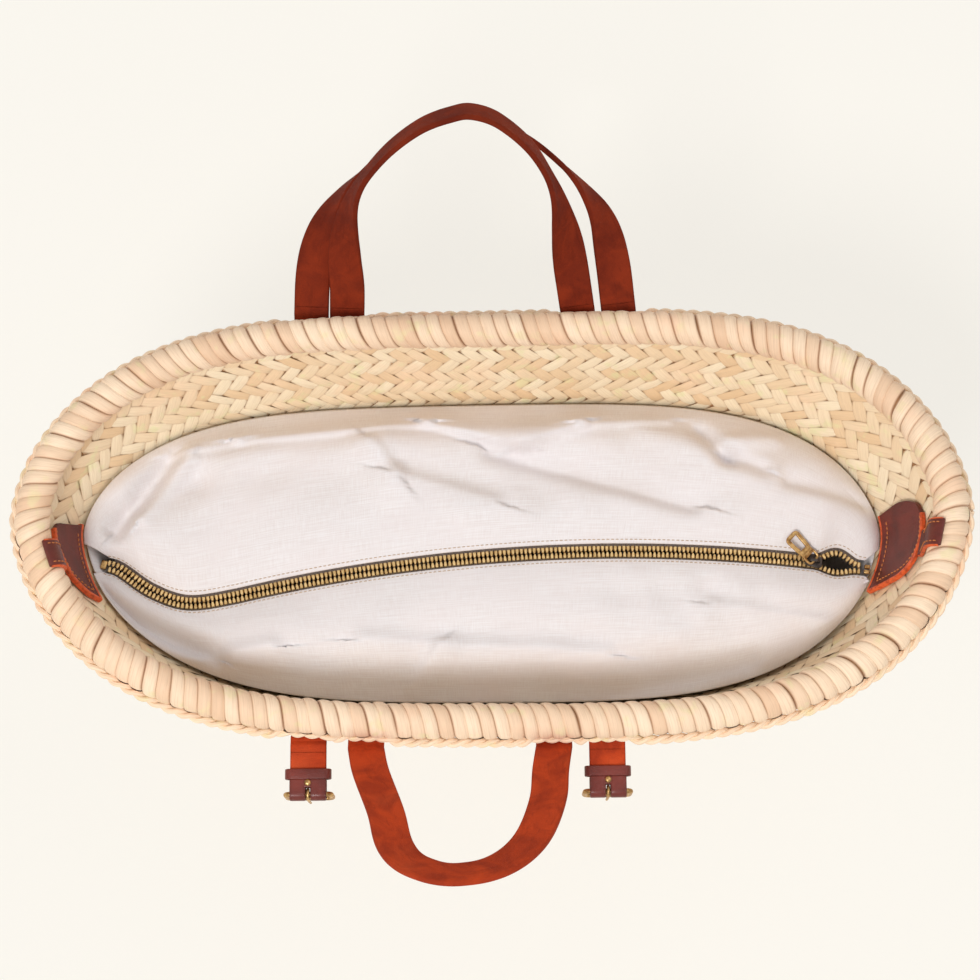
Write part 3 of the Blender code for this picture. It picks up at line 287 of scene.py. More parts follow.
class Shape:
    """Grids of points gathered into one mesh, with a UV map in metres and a tone for each point."""

    def __init__(self, name):
        self.name = name
        self.points = []
        self.tones = []
        self.edges = []
        self.faces = []
        self.sizes = []
        self.uvs = []
        self.count = 0

    def grid(self, p, wrap_u=False, wrap_v=False, flip=False, tone=0.5, edge=0.0, uv=None, caps=False):
        """Add one grid [n, m, 3] or many [k, n, m, 3]; faces join neighbours, wrapping where asked."""
        p = np.asarray(p, float)
        if p.ndim == 3:
            p = p[None]
        k, n, m = p.shape[:3]
        base = self.count + np.arange(k)[:, None, None] * (n * m)
        i = np.arange(n if wrap_u else n - 1)
        j = np.arange(m if wrap_v else m - 1)
        ii, jj = np.meshgrid(i, j, indexing="ij")
        i2, j2 = (ii + 1) % n, (jj + 1) % m
        quad = np.stack([ii * m + jj, i2 * m + jj, i2 * m + j2, ii * m + j2], axis=-1)
        quads = base[..., None] + quad[None]
        if uv is None:
            along = np.concatenate([np.zeros((k, 1)), np.cumsum(
                np.linalg.norm(np.diff(p[:, :, 0], axis=1), axis=2), axis=1)], axis=1)
            ring = np.concatenate([p, p[:, :, :1]], axis=2) if wrap_v else p
            across = np.concatenate([np.zeros((k, 1)), np.cumsum(
                np.linalg.norm(np.diff(ring[:, n // 2], axis=1), axis=2), axis=1)], axis=1)
            if wrap_u:
                last = np.linalg.norm(p[:, 0, 0] - p[:, -1, 0], axis=1)[:, None]
                along = np.concatenate([along, along[:, -1:] + last], axis=1)
            u = np.repeat(along[:, :, None], across.shape[1], axis=2)
            v = np.repeat(across[:, None, :], along.shape[1], axis=1)
            uv = np.stack([u, v], axis=-1)
        else:
            uv = np.broadcast_to(uv, (k,) + np.shape(uv)[-3:])
        corners = np.stack([uv[:, ii, jj], uv[:, ii + 1, jj], uv[:, ii + 1, jj + 1], uv[:, ii, jj + 1]],
                           axis=-2)
        if flip:
            quads = quads[..., ::-1]
            corners = corners[..., ::-1, :]
        self.points.append(p.reshape(-1, 3))
        self.tones.append(np.broadcast_to(np.asarray(tone, float), (k, n, m)).reshape(-1)
                          if np.ndim(tone) != 1 else np.repeat(tone, n * m))
        self.edges.append(np.broadcast_to(np.asarray(edge, float), (k, n, m)).reshape(-1))
        self.faces.append(quads.reshape(-1))
        self.uvs.append(corners.reshape(-1, 2))
        self.sizes.append(np.full(quads.size // 4, 4))
        if caps:
            for row, back in ((0, not flip), (n - 1, flip)):
                ids = base[:, 0, 0][:, None] + row * m + np.arange(m)
                flat = np.zeros((k, m, 2))
                if back:
                    ids = ids[:, ::-1]
                self.faces.append(ids.reshape(-1))
                self.uvs.append(flat.reshape(-1, 2))
                self.sizes.append(np.full(k, m))
        self.count += k * n * m
        return self

    def make(self, material, sharp=math.radians(40.0)):
        """The mesh object with its material, flat only where faces meet at more than the angle."""
        points = np.vstack(self.points)
        faces = np.concatenate(self.faces)
        sizes = np.concatenate(self.sizes)
        mesh = bpy.data.meshes.new(self.name)
        mesh.vertices.add(len(points))
        mesh.vertices.foreach_set("co", points.reshape(-1).astype(np.float32))
        mesh.loops.add(len(faces))
        mesh.loops.foreach_set("vertex_index", faces.astype(np.int32))
        mesh.polygons.add(len(sizes))
        mesh.polygons.foreach_set("loop_start", np.concatenate([[0], np.cumsum(sizes)[:-1]]).astype(np.int32))
        mesh.polygons.foreach_set("loop_total", sizes.astype(np.int32))
        mesh.update(calc_edges=True)
        layer = mesh.uv_layers.new(name="UVMap")
        layer.data.foreach_set("uv", np.vstack(self.uvs).reshape(-1).astype(np.float32))
        tone = mesh.attributes.new("tone", "FLOAT", "POINT")
        tone.data.foreach_set("value", np.concatenate(self.tones).astype(np.float32))
        edge = mesh.attributes.new("edge", "FLOAT", "POINT")
        edge.data.foreach_set("value", np.concatenate(self.edges).astype(np.float32))
        mesh.shade_smooth()
        mesh.set_sharp_from_angle(angle=sharp)
        mesh.materials.append(material)
        obj = bpy.data.objects.new(self.name, mesh)
        bpy.context.scene.collection.objects.link(obj)
        return obj


def sweep(shape, path, wide, thick, section, closed=False, soft=0.0, scale=None, **more):
    """Section carried along a path: each ring is the path point plus the section on two directions.

    At open ends two more rings draw in by the softness, so the end looks rounded.
    """
    path = np.asarray(path, float)
    wide = np.broadcast_to(wide, path.shape)
    thick = np.broadcast_to(thick, path.shape)
    if scale is None:
        scale = np.ones(len(path))
    scale = np.broadcast_to(np.reshape(scale, (len(path), -1)), (len(path), 2))
    if not closed and soft > 0:
        ahead = tangents(path)
        half = np.abs(section).max(axis=0)
        extra = [(1.0, 1.0), (0.6, 0.25)]
        heads = [(path[0] - ahead[0] * soft * a, 0, b) for a, b in extra]
        tails = [(path[-1] + ahead[-1] * soft * a, -1, b) for a, b in reversed(extra)]
        path = np.vstack([[h[0] for h in heads], path, [t[0] for t in tails]])
        wide = np.vstack([wide[[0, 0]], wide, wide[[-1, -1]]])
        thick = np.vstack([thick[[0, 0]], thick, thick[[-1, -1]]])
        head = [scale[0] * (1 - soft * h[2] / half) for h in heads]
        tail = [scale[-1] * (1 - soft * t[2] / half) for t in tails]
        scale = np.vstack([head, scale, tail])
    rings = (path[:, None] + section[None, :, :1] * scale[:, None, :1] * wide[:, None]
             + section[None, :, 1:] * scale[:, None, 1:] * thick[:, None])
    middle = rings.mean(axis=1)
    ahead = tangents(middle, closed)
    around = np.roll(rings, -1, axis=1) - rings
    facing = np.einsum("ijk,ijk->", np.cross(np.broadcast_to(ahead[:, None], rings.shape), around),
                       rings - middle[:, None])
    shape.grid(rings, wrap_u=closed, wrap_v=True, flip=bool(facing > 0), caps=not closed, **more)
    return shape


def round_bar(shape, path, radius, closed=False, steps=10, soft=None, scale=None, **more):
    """Round wire along a path; its section is carried without twist."""
    path = np.asarray(path, float)
    ahead = tangents(path, closed)
    seed = np.array((0.31, 0.17, 0.93))
    wide = [unit(np.cross(ahead[0], seed))]
    for t in ahead[1:]:
        wide.append(unit(wide[-1] - t * np.dot(wide[-1], t)))
    wide = np.array(wide)
    soft = radius * 0.5 if soft is None else soft
    return sweep(shape, path, wide, np.cross(ahead, wide), disc_section(radius, steps), closed,
                 0.0 if closed else soft, scale, **more)


def turned(shape, profile, place, steps=28, **more):
    """Profile of (radius, height) turned about the local Z of a place, from its top to its bottom."""
    profile = np.array(profile, float)
    a = np.linspace(0, 2 * math.pi, steps, endpoint=False)
    r = np.maximum(profile[:, 0], 1e-5)[:, None]
    rings = np.stack([r * np.cos(a), r * np.sin(a), np.repeat(profile[:, 1:], steps, axis=1)], axis=-1)
    shape.grid(put(place, rings), wrap_v=True, caps=True, flip=True, **more)
    return shape


# The frame's own surfaces

def depth_share(cosine):
    return np.maximum(0.0, 1 - np.abs(cosine) ** SIDE_FLATNESS) ** END_ROUNDNESS


def wall_top(cosine):
    return WALL_TOP + END_RISE * cosine ** 2


def wall_surface(angle, height):
    """Outside of the wall: an ellipse-like plan whose halves grow as a power of the height."""
    angle, height = np.broadcast_arrays(np.asarray(angle, float), np.asarray(height, float))
    cosine = np.cos(angle)
    share = np.maximum(height, 0.0) / wall_top(cosine)
    spread = share ** FLARE_POWER
    top_length = MOUTH_LENGTH / 2 - ROLL_RADIUS + WALL / 2
    top_depth = MOUTH_DEPTH / 2 - ROLL_RADIUS + WALL / 2
    half_length = BASE_LENGTH / 2 + (top_length - BASE_LENGTH / 2) * spread
    half_depth = BASE_DEPTH / 2 + (top_depth - BASE_DEPTH / 2) * spread
    y = np.copysign(half_depth * depth_share(cosine), np.sin(angle))
    return np.stack([half_length * cosine, y * (1 + MOUTH_EGG * share * cosine), height], axis=-1)


def wall_point(angle, height, inset):
    """Wall's outside moved in along its normal."""
    angle, height = np.broadcast_arrays(np.asarray(angle, float), np.asarray(height, float))
    step = math.radians(0.5)
    rise = 0.0005
    round_way = wall_surface(angle + step, height) - wall_surface(angle - step, height)
    up_way = wall_surface(angle, height + rise) - wall_surface(angle, np.maximum(height - rise, 0.0))
    normal = unit(np.cross(round_way, up_way))
    return wall_surface(angle, height) - normal * np.reshape(inset, np.shape(inset) + (1,))


FOOT_SHARE = 0.0717


def skin(angle, share, inset):
    """Wall at a share of its whole run from the base's edge, over the round foot, to the top."""
    angle, share, inset = np.broadcast_arrays(angle, share, inset)
    top = wall_top(np.cos(angle))
    turn = np.clip(share / FOOT_SHARE, 0, 1) * math.pi / 2
    foot_height = BASE_ROUND * (1 - np.cos(turn))
    extra = BASE_ROUND * (1 - np.sin(turn))
    above = np.maximum(share - FOOT_SHARE, 0) / (1 - FOOT_SHARE)
    height = foot_height + (top - BASE_ROUND) * above
    point = wall_point(angle, height, extra + inset * np.sin(turn))
    point[..., 2] += inset * np.cos(turn)
    return point


def end_angle(end, y, height):
    """Plan angle near one end of the mouth at which the wall's outside has the given y."""
    y, height = np.broadcast_arrays(np.asarray(y, float), np.asarray(height, float))
    low = np.full(y.shape, -math.pi / 2)
    high = -low
    for _ in range(40):
        middle = (low + high) / 2
        at = middle if end > 0 else math.pi - middle
        small = wall_surface(at, height)[..., 1] < y
        low = np.where(small, middle, low)
        high = np.where(small, high, middle)
    return low if end > 0 else math.pi - low


def end_point(end, y, height, inset):
    return wall_point(end_angle(end, y, height), height, inset)


def wall_depth(x, height, side, width):
    """Largest outside distance from the middle plane over a strap's width."""
    out = []
    for e in (x - width / 2, x, x + width / 2):
        cosine = 0.0
        for _ in range(6):
            share = height / wall_top(cosine)
            half = BASE_LENGTH / 2 + (MOUTH_LENGTH / 2 - ROLL_RADIUS + WALL / 2 - BASE_LENGTH / 2) * share ** FLARE_POWER
            cosine = max(-1.0, min(1.0, e / half))
        out.append(abs(wall_surface(side * math.acos(cosine), height)[1]))
    return max(out)


def hem_height(angle):
    """Height of the lining's seam: a power of the cosine between the sides and the ends."""
    cosine = np.cos(angle)
    end = np.where(cosine > 0, HEM_RIGHT_DROP, HEM_LEFT_DROP)
    back = np.sin(angle) > 0
    side = np.where(back, HEM_BACK_DROP, HEM_FRONT_DROP)
    shape = np.abs(cosine) ** np.where(back, 3.2, 2.3)
    return WALL_TOP - side + (side - end) * shape


def arc_y(x):
    """Plan curve of the zip: a circle about a far centre on the front side."""
    return ZIP_CENTRE.y + np.sqrt((ZIP_TOP_Y - ZIP_CENTRE.y) ** 2 - (x - ZIP_CENTRE.x) ** 2)


def zip_route():
    """Centre line of the zip: an arc, with a wave and a rise toward the left end."""
    right = MOUTH_LENGTH / 2
    for _ in range(4):
        right = end_point(1, arc_y(right), ZIP_Z, WALL)[0] - ZIP_RIGHT_GAP
    left = end_point(-1, MOUTH_DEPTH * ZIP_LEFT[-1][1], ZIP_Z + ZIP_LEFT_RISE, WALL)[0] + ZIP_LEFT_GAP
    wave = [(ZIP_TURN_X + (left - ZIP_TURN_X) * x, MOUTH_DEPTH * y) for x, y in reversed(ZIP_LEFT)]
    joint = [(ZIP_TURN_X + k * 0.012, arc_y(ZIP_TURN_X + k * 0.012)) for k in range(3)]
    turn = spline(wave + joint, 120)
    turn = turn[turn[:, 0] < ZIP_TURN_X]
    x = np.linspace(ZIP_TURN_X, right, 360)
    plan = np.vstack([turn, np.column_stack([x, arc_y(x)])])
    past = np.clip((ZIP_TURN_X - plan[:, 0]) / (ZIP_TURN_X - left), 0, 1)
    return np.column_stack([plan, ZIP_Z + ZIP_LEFT_RISE * past ** 1.3]), right - SLIDER_FROM_END, right


ROUTE, SLIDER_X, ZIP_RIGHT = zip_route()


def opening(x, side):
    share = np.clip((x - SLIDER_X) / (SLIDER_FROM_END - 0.003), 0, 1)
    return (0.0050 if side > 0 else 0.0024) * np.sin(math.pi * share) ** 2


def beside(line, side, offset):
    """A line moved sideways in plan."""
    ahead = unit(np.gradient(line[:, :2], axis=0))
    across = np.column_stack([-ahead[:, 1], ahead[:, 0]]) * side
    moved = line.copy()
    moved[:, :2] += across * np.reshape(offset, (-1, 1))
    return moved


def tooth_row(side):
    return beside(ROUTE, side, ROW_OFFSET + opening(ROUTE[:, 0], side))


def slider_place(lift):
    here = Vector((SLIDER_X, float(arc_y(SLIDER_X)), ZIP_Z))
    radius = (here - ZIP_CENTRE).normalized()
    return place_at(here + Vector((0, 0, lift)), (radius.y, -radius.x, 0.0), radius)


def hinge_line(side, out, drop):
    return Vector((0.0, side * (MOUTH_DEPTH / 2 + out), HINGE_Z - drop))


def rim_path(count):
    """Centre line of the rim roll at equal distances, with its outward direction."""
    a = np.linspace(0, 2 * math.pi, 4000)
    line = wall_point(a, wall_top(np.cos(a)), WALL / 2) + UP * (ROLL_RADIUS + FIT)
    run = lengths(line)
    wanted = np.linspace(0, run[-1], count, endpoint=False)
    path = np.stack([np.interp(wanted, run, line[:, k]) for k in range(3)], axis=1)
    ahead = tangents(path, closed=True)
    out = unit(np.cross(ahead, UP))
    return path, out, run[-1]


# Shaders

def srgb(*rgb):
    """Colour as written on screen turned to the shader's linear numbers."""
    c = np.array(rgb, float) / 255
    return tuple(np.where(c <= 0.04045, c / 12.92, ((c + 0.055) / 1.055) ** 2.4))


class Wire:
    """A shader socket that can be used in sums and products."""

    def __init__(self, graph, socket):
        self.graph = graph
        self.socket = socket

    def maths(self, operation, *others):
        return self.graph.node("ShaderNodeMath", {i: o for i, o in enumerate(others)}, operation=operation)

    def __add__(self, other):
        return self.maths("ADD", self, other)

    def __radd__(self, other):
        return self.maths("ADD", other, self)

    def __sub__(self, other):
        return self.maths("SUBTRACT", self, other)

    def __rsub__(self, other):
        return self.maths("SUBTRACT", other, self)

    def __mul__(self, other):
        return self.maths("MULTIPLY", self, other)

    def __rmul__(self, other):
        return self.maths("MULTIPLY", other, self)

    def __truediv__(self, other):
        return self.maths("DIVIDE", self, other)

    def __pow__(self, other):
        return self.maths("POWER", self, other)

    def __abs__(self):
        return self.maths("ABSOLUTE", self)


class Graph:
    """Node tree of one material, filled through its methods."""

    def __init__(self, name):
        self.material = bpy.data.materials.new(name)
        self.material.use_nodes = True
        self.tree = self.material.node_tree
        self.tree.nodes.clear()

    def node(self, kind, inputs=None, out=0, **settings):
        """A new node: its settings first, then its inputs; gives one output as a wire."""
        node = self.tree.nodes.new(kind)
        for key, value in settings.items():
            setattr(node, key, value)
        for key, value in (inputs or {}).items():
            if isinstance(value, Wire):
                self.tree.links.new(value.socket, node.inputs[key])
            else:
                node.inputs[key].default_value = value
        return Wire(self, node.outputs[out]) if len(node.outputs) else None

    def uv(self, along=1.0, across=1.0):
        """UV map in metres, stretched along and across."""
        uv = self.node("ShaderNodeUVMap", uv_map="UVMap")
        return self.node("ShaderNodeVectorMath", {0: uv, 1: (along, across, 1.0)}, operation="MULTIPLY")

    def place(self, stretch=(1.0, 1.0, 1.0)):
        """Object coordinates, stretched."""
        here = self.node("ShaderNodeTexCoord", out="Object")
        return self.node("ShaderNodeVectorMath", {0: here, 1: stretch}, operation="MULTIPLY")

    def tone(self, name="tone"):
        return self.node("ShaderNodeAttribute", out="Fac", attribute_name=name)

    def noise(self, vector, scale, detail=3.0, rough=0.55, distortion=0.0):
        return self.node("ShaderNodeTexNoise", {"Vector": vector, "Scale": scale, "Detail": detail,
                                                "Roughness": rough, "Distortion": distortion})

    def cells(self, vector, scale, feature="F1"):
        return self.node("ShaderNodeTexVoronoi", {"Vector": vector, "Scale": scale}, feature=feature)

    def step(self, value, low, high):
        """Smooth step from 0 at low to 1 at high."""
        return self.node("ShaderNodeMapRange", {"Value": value, "From Min": low, "From Max": high},
                         interpolation_type="SMOOTHSTEP")

    def mix(self, share, first, second, blend="MIX"):
        def colour(c):
            return c if isinstance(c, Wire) else (*c, 1.0)
        return self.node("ShaderNodeMix", {0: share, 6: colour(first), 7: colour(second)}, out=2,
                         data_type="RGBA", blend_type=blend)

    def bump(self, height, distance, strength=1.0, normal=None):
        inputs = {"Height": height, "Distance": distance, "Strength": strength}
        if normal is not None:
            inputs["Normal"] = normal
        return self.node("ShaderNodeBump", inputs)

    def surface(self, colour, roughness, normal=None, **fixed):
        """Principled surface linked to the material's output."""
        colour = colour if isinstance(colour, Wire) else (*colour, 1.0)
        inputs = {"Base Color": colour, "Roughness": roughness}
        if normal is not None:
            inputs["Normal"] = normal
        inputs.update({key.replace("_", " "): value for key, value in fixed.items()})
        shader = self.node("ShaderNodeBsdfPrincipled", inputs)
        self.node("ShaderNodeOutputMaterial", {"Surface": shader})
        return self.material


def palm_finish(name, light, dark, gap, low, strong, streak):
    """Dry palm leaf: a tone for each strand, fibres along it, and painted shade darkening each strand's sides and ends
    from a low limit, where it tucks under its neighbours.
    """
    g = Graph(name)
    tone = g.tone()
    fibre = g.noise(g.uv(60.0, 1500.0), 1.0, 4.0, 0.6)
    patch = g.noise(g.place((1, 1, 1)), 38.0, 3.0)
    colour = g.mix(g.step(tone, 0.0, 1.0), dark, light)
    green = tuple(np.array(light) * (0.86, 0.97, 0.72))
    pink = tuple(np.array(light) * (1.02, 0.86, 0.80))
    colour = g.mix(g.step(g.noise(g.place(), 90.0, 2.0), 0.56, 0.72) * 0.55, colour, green)
    colour = g.mix(g.step(patch, 0.52, 0.75) * 0.6, colour, pink)
    colour = g.mix(g.step(fibre, 0.42, 0.70) * streak, colour, tuple(np.array(dark) * 0.80))
    # Painted shade: the gap colour darkens each strand's sides and ends, where it tucks under its neighbours.
    colour = g.mix(g.step(g.tone("edge"), low, 1.0) * strong, colour, gap)
    rough = 0.50 + 0.2 * fibre
    normal = g.bump(fibre, 0.0004, 0.6)
    return g.surface(colour, rough, normal, Specular_IOR_Level=0.35)


def core_gap_shade_finish(name, colour):
    # Core under the plait and the rim wraps in the gap colour, mottled darker: painted shade that shows through the
    # gaps.
    g = Graph(name)
    mottle = g.noise(g.place(), 160.0, 4.0)
    shade = g.mix(g.step(mottle, 0.3, 0.75), tuple(np.array(colour) * 0.55), colour)
    return g.surface(shade, 0.85, g.bump(mottle, 0.0006, 0.7))


def canvas_finish(name, light, shade):
    """Cotton canvas: crossed threads with thick places, and faint wide mottling."""
    g = Graph(name)
    warp = g.noise(g.uv(45.0, 1700.0), 1.0, 3.0, 0.6)
    weft = g.noise(g.uv(1900.0, 110.0), 1.0, 2.0, 0.5)
    slub = g.step(g.noise(g.uv(90.0, 900.0), 1.0, 1.0), 0.62, 0.74)
    wide = g.noise(g.place(), 22.0, 3.0)
    threads = warp * 0.62 + weft * 0.38
    colour = g.mix(g.step(threads, 0.30, 0.70), shade, light)
    colour = g.mix(slub * 0.14, colour, tuple(np.array(shade) * 0.92))
    colour = g.mix(g.step(wide, 0.35, 0.7) * 0.45, colour, tuple(np.array(light) * (0.95, 0.90, 0.89)))
    normal = g.bump(threads + slub * 0.4, 0.0003, 0.38)
    return g.surface(colour, 0.92, normal, Specular_IOR_Level=0.15, Sheen_Weight=0.1)


def leather_finish(name, base, dark, light, rough, grain, shine, coat=0.0):
    """Tanned leather: mottled dye, pebbled grain with creases, burnished darker edges."""
    g = Graph(name)
    mottle = g.noise(g.place(), 60.0, 5.0, 0.62, 0.6)
    cloud = g.noise(g.place(), 16.0, 3.0)
    pebble = g.cells(g.place(), grain, "DISTANCE_TO_EDGE")
    fine = g.noise(g.place(), 700.0, 3.0)
    crease = g.step(g.noise(g.uv(70.0, 260.0), 1.0, 4.0, 0.6, 0.4), 0.55, 0.66)
    colour = g.mix(g.step(mottle, 0.30, 0.72), dark, base)
    colour = g.mix(g.step(cloud, 0.50, 0.75) * 0.65, colour, light)
    colour = g.mix(crease * 0.25, colour, tuple(np.array(dark) * 0.6))
    colour = g.mix(g.step(g.tone("edge"), 0.3, 1.0) * 0.45, colour, tuple(np.array(dark) * 0.70))
    height = g.step(pebble, 0.0, 0.12) + fine * 0.35 - crease * 0.8
    normal = g.bump(height, 0.00012, 0.5)
    return g.surface(colour, rough + 0.16 * mottle, normal, Specular_IOR_Level=shine, Coat_Weight=coat,
                     Coat_Roughness=0.22)


def metal_finish(name, light, dark, rough, metal, wear=26.0):
    """Metal with worn bright places, dull stains and fine scratches."""
    g = Graph(name)
    stain = g.noise(g.place(), wear * 12, 5.0, 0.65)
    scratch = g.noise(g.place((1.0, 8.0, 3.0)), 900.0, 2.0)
    colour = g.mix(g.step(stain, 0.35, 0.68), light, dark)
    normal = g.bump(stain * 0.6 + scratch * 0.4, 0.00006, 0.5)
    return g.surface(colour, rough + 0.25 * stain, normal, Metallic=metal)


def tape_finish(name, colour):
    g = Graph(name)
    rib = g.noise(g.uv(1500.0, 300.0), 1.0, 2.0)
    shade = g.mix(g.step(rib, 0.35, 0.65), tuple(np.array(colour) * 0.6), colour)
    return g.surface(shade, 0.9, g.bump(rib, 0.0003, 0.7))


def thread_finish(name, colour):
    g = Graph(name)
    ply = g.noise(g.uv(900.0, 2500.0), 1.0, 2.0)
    shade = g.mix(g.step(ply, 0.35, 0.7), tuple(np.array(colour) * 0.6), colour)
    return g.surface(shade, 0.6, g.bump(ply, 0.0002, 0.5))


def paint_finish(name, colour):
    """Painted leather edge, a little uneven."""
    g = Graph(name)
    uneven = g.noise(g.place(), 420.0, 4.0)
    shade = g.mix(g.step(uneven, 0.4, 0.72), colour, tuple(np.array(colour) * (0.55, 0.42, 0.4)))
    return g.surface(shade, 0.42, g.bump(uneven, 0.0002, 0.5))


def floor_finish(name, colour):
    """Pale floor that keeps half of the object's shadow where the camera sees it."""
    g = Graph(name)
    grain = g.noise(g.place(), 4.0, 2.0)
    shade = g.mix(grain * 0.02, colour, tuple(np.array(colour) * 0.96))
    plain = g.node("ShaderNodeBsdfDiffuse", {"Color": shade, "Roughness": 1.0})
    glow = g.node("ShaderNodeEmission", {"Color": shade, "Strength": 0.98})
    seen = g.node("ShaderNodeLightPath", out="Is Camera Ray")
    both = g.node("ShaderNodeMixShader", {0: seen * 0.76, 1: plain, 2: glow})
    g.node("ShaderNodeOutputMaterial", {"Surface": both})
    return g.material


# Settings

def length(name, value, text):
    return FloatProperty(name=name, description=text, default=value, unit="LENGTH", min=0.0001)


def colour(name, value, text):
    return FloatVectorProperty(name=name, description=text, default=srgb(*value), subtype="COLOR", size=3,
                               min=0.0, max=1.0)


class BasketSizes(bpy.types.PropertyGroup):
    cell: length("Plait cell", 0.0096, "Distance between neighbouring strands along and across the plait")
    crown: length("Strand crown", 0.0009, "Height of a strand's middle over its crossing")
    rows: IntProperty(name="Plait rows", description="Rows of plait from foot to rim", default=27, min=5)
    wraps: IntProperty(name="Rim wraps", description="Turns of leaf around the rim", default=160, min=20)
    wrap_crown: length("Wrap crown", 0.0018, "Height of each rim wrap over its edges")
    cord: length("Edging strand", 0.0015, "Radius of the two strands twisted under the rim")
    tooth: length("Tooth pitch", 0.00235, "Distance between zip teeth of one row")
    stitch: length("Stitch pitch", 0.0034, "Distance between stitches of the leather seams")
    cloth: length("Lining thickness", 0.0007, "Thickness of the lining cloth")


class BasketColours(bpy.types.PropertyGroup):
    palm: colour("Palm", (255, 239, 208), "Lighter strands of the wall")
    palm_dark: colour("Palm, dark", (241, 208, 166), "Darker strands of the wall")
    # Painted shade: colour of the shade in the gaps between strands, also used for the core under the plait.
    palm_gap: colour("Palm, gaps", (180, 130, 86), "Edges and gaps between strands")
    rim: colour("Rim", (250, 224, 194), "Lighter wraps of the rim")
    rim_dark: colour("Rim, dark", (234, 197, 163), "Darker wraps of the rim")
    # Painted shade: colour of the shade in the slots between the rim's wraps.
    rim_gap: colour("Rim, lines", (150, 100, 66), "Lines between the rim's wraps")
    canvas: colour("Lining", (235, 232, 233), "Lining cloth in the light")
    canvas_dark: colour("Lining, dark", (222, 214, 213), "Thread shadows of the lining")
    leather: colour("Leather", (200, 72, 33), "Front handle and buckle straps")
    leather_dark: colour("Leather, dark", (158, 54, 28), "Deeper dye of the front handle")
    leather_light: colour("Leather, light", (208, 92, 52), "Rubbed places of the front handle")
    # Painted shade: these back-strap colours are the front leather's colours darkened for the shade on the back side;
    # the dye mottle and rubbed places within them are the leather's own.
    strap: colour("Dark leather", (134, 47, 23), "Handle and straps at the back")
    strap_dark: colour("Dark leather, deep", (106, 35, 19), "Deeper dye at the back")
    strap_light: colour("Dark leather, light", (150, 58, 29), "Rubbed places at the back")
    trim: colour("Trim leather", (118, 46, 36), "End tabs, keepers and chapes")
    edge: colour("Edge paint", (226, 96, 44), "Painted edges of the end tabs")
    thread: colour("Thread", (232, 140, 76), "Stitches in the leather")
    seam: colour("Seam thread", (214, 184, 152), "Stitches beside the zip")
    tooth: colour("Zip teeth", (240, 208, 150), "Bright brass of the zip teeth")
    brass: colour("Brass", (214, 176, 118), "Buckles, pull tab and rivets")
    brass_dark: colour("Brass, dark", (140, 100, 58), "Tarnish on the brass")
    slider: colour("Slider", (92, 84, 80), "Darkened slider")
    tape: colour("Zip tape", (112, 98, 90), "Tape beside the teeth")
    floor: colour("Floor", (251, 248, 241), "Floor and backdrop")


class BasketSettings(bpy.types.PropertyGroup):
    sizes: PointerProperty(type=BasketSizes)
    colours: PointerProperty(type=BasketColours)


# Palm wall

def row_table(share):
    """Angle as a function of the distance round the wall at one share of its height."""
    a = np.linspace(0, 2 * math.pi, 3000)
    line = skin(a, np.full_like(a, share), 0.0015)
    run = lengths(line)
    return a, run


def plait_rows(shape, sizes, first, last, rows, inset_of, flip, seed):
    """Two-over-two twill on the slant.

    A float is a strip two widths long, turned 45 degrees, its middle raised as one less the square
    of the place along it; rows lean left and right in turn, half a cell apart.
    """
    rng = np.random.default_rng(seed)
    width = math.sqrt(0.5)
    t, q = np.meshgrid(np.linspace(-1, 1, 7), np.linspace(-1, 1, 4), indexing="ij")
    pitch = (last - first) / rows
    for band in range(0, rows, 5):
        band_rows = range(band, min(band + 5, rows))
        middle = first + (band + 2.5) * pitch
        around = row_table(min(middle, last))[1][-1]
        count = int(round(around / sizes.cell))
        phase = rng.uniform()
        for row in band_rows:
            share = first + (row + 0.5) * pitch
            a, run = row_table(share)
            lean = 1 if row % 2 else -1
            centre = (np.arange(count) + 0.5 * (row % 2) + phase) * run[-1] / count
            turn = lean * (math.pi / 4 + rng.normal(0, 0.035, count))[:, None, None]
            wide = width * 0.525 * (1 + rng.normal(0, 0.035, count))[:, None, None]
            x = t * 1.31 * width * np.cos(turn) - q * wide * np.sin(turn)
            y = t * 1.31 * width * np.sin(turn) + q * wide * np.cos(turn)
            place = centre[:, None, None] + x * run[-1] / count
            angle = np.interp(place % run[-1], run, a)
            edge_row = (row - band) in (0, 4)
            lift = rng.normal(0, 0.00012, count)[:, None, None] - (0.0003 if edge_row else 0.0)
            raised = sizes.crown * (1 - 1.15 * t ** 2) + 0.00035 * (1 - q ** 2) + lift
            points = skin(angle, np.clip(share + y * pitch, 0, 1), inset_of(raised))
            tone = np.clip(rng.normal(0.55, 0.26, count), 0, 1)
            uv = np.stack([t * 1.25 * sizes.cell * width, q * sizes.cell * width / 2], axis=-1)
            uv = uv[None] + rng.uniform(0, 3, (count, 1, 1, 2))
            # The edge value drives the painted shade on each strand's sides and ends.
            shape.grid(points, flip=flip, tone=tone, uv=uv,
                       edge=np.broadcast_to(np.abs(q) ** 3 * 0.75 + np.abs(t) ** 4 * 0.6, points.shape[:3]))


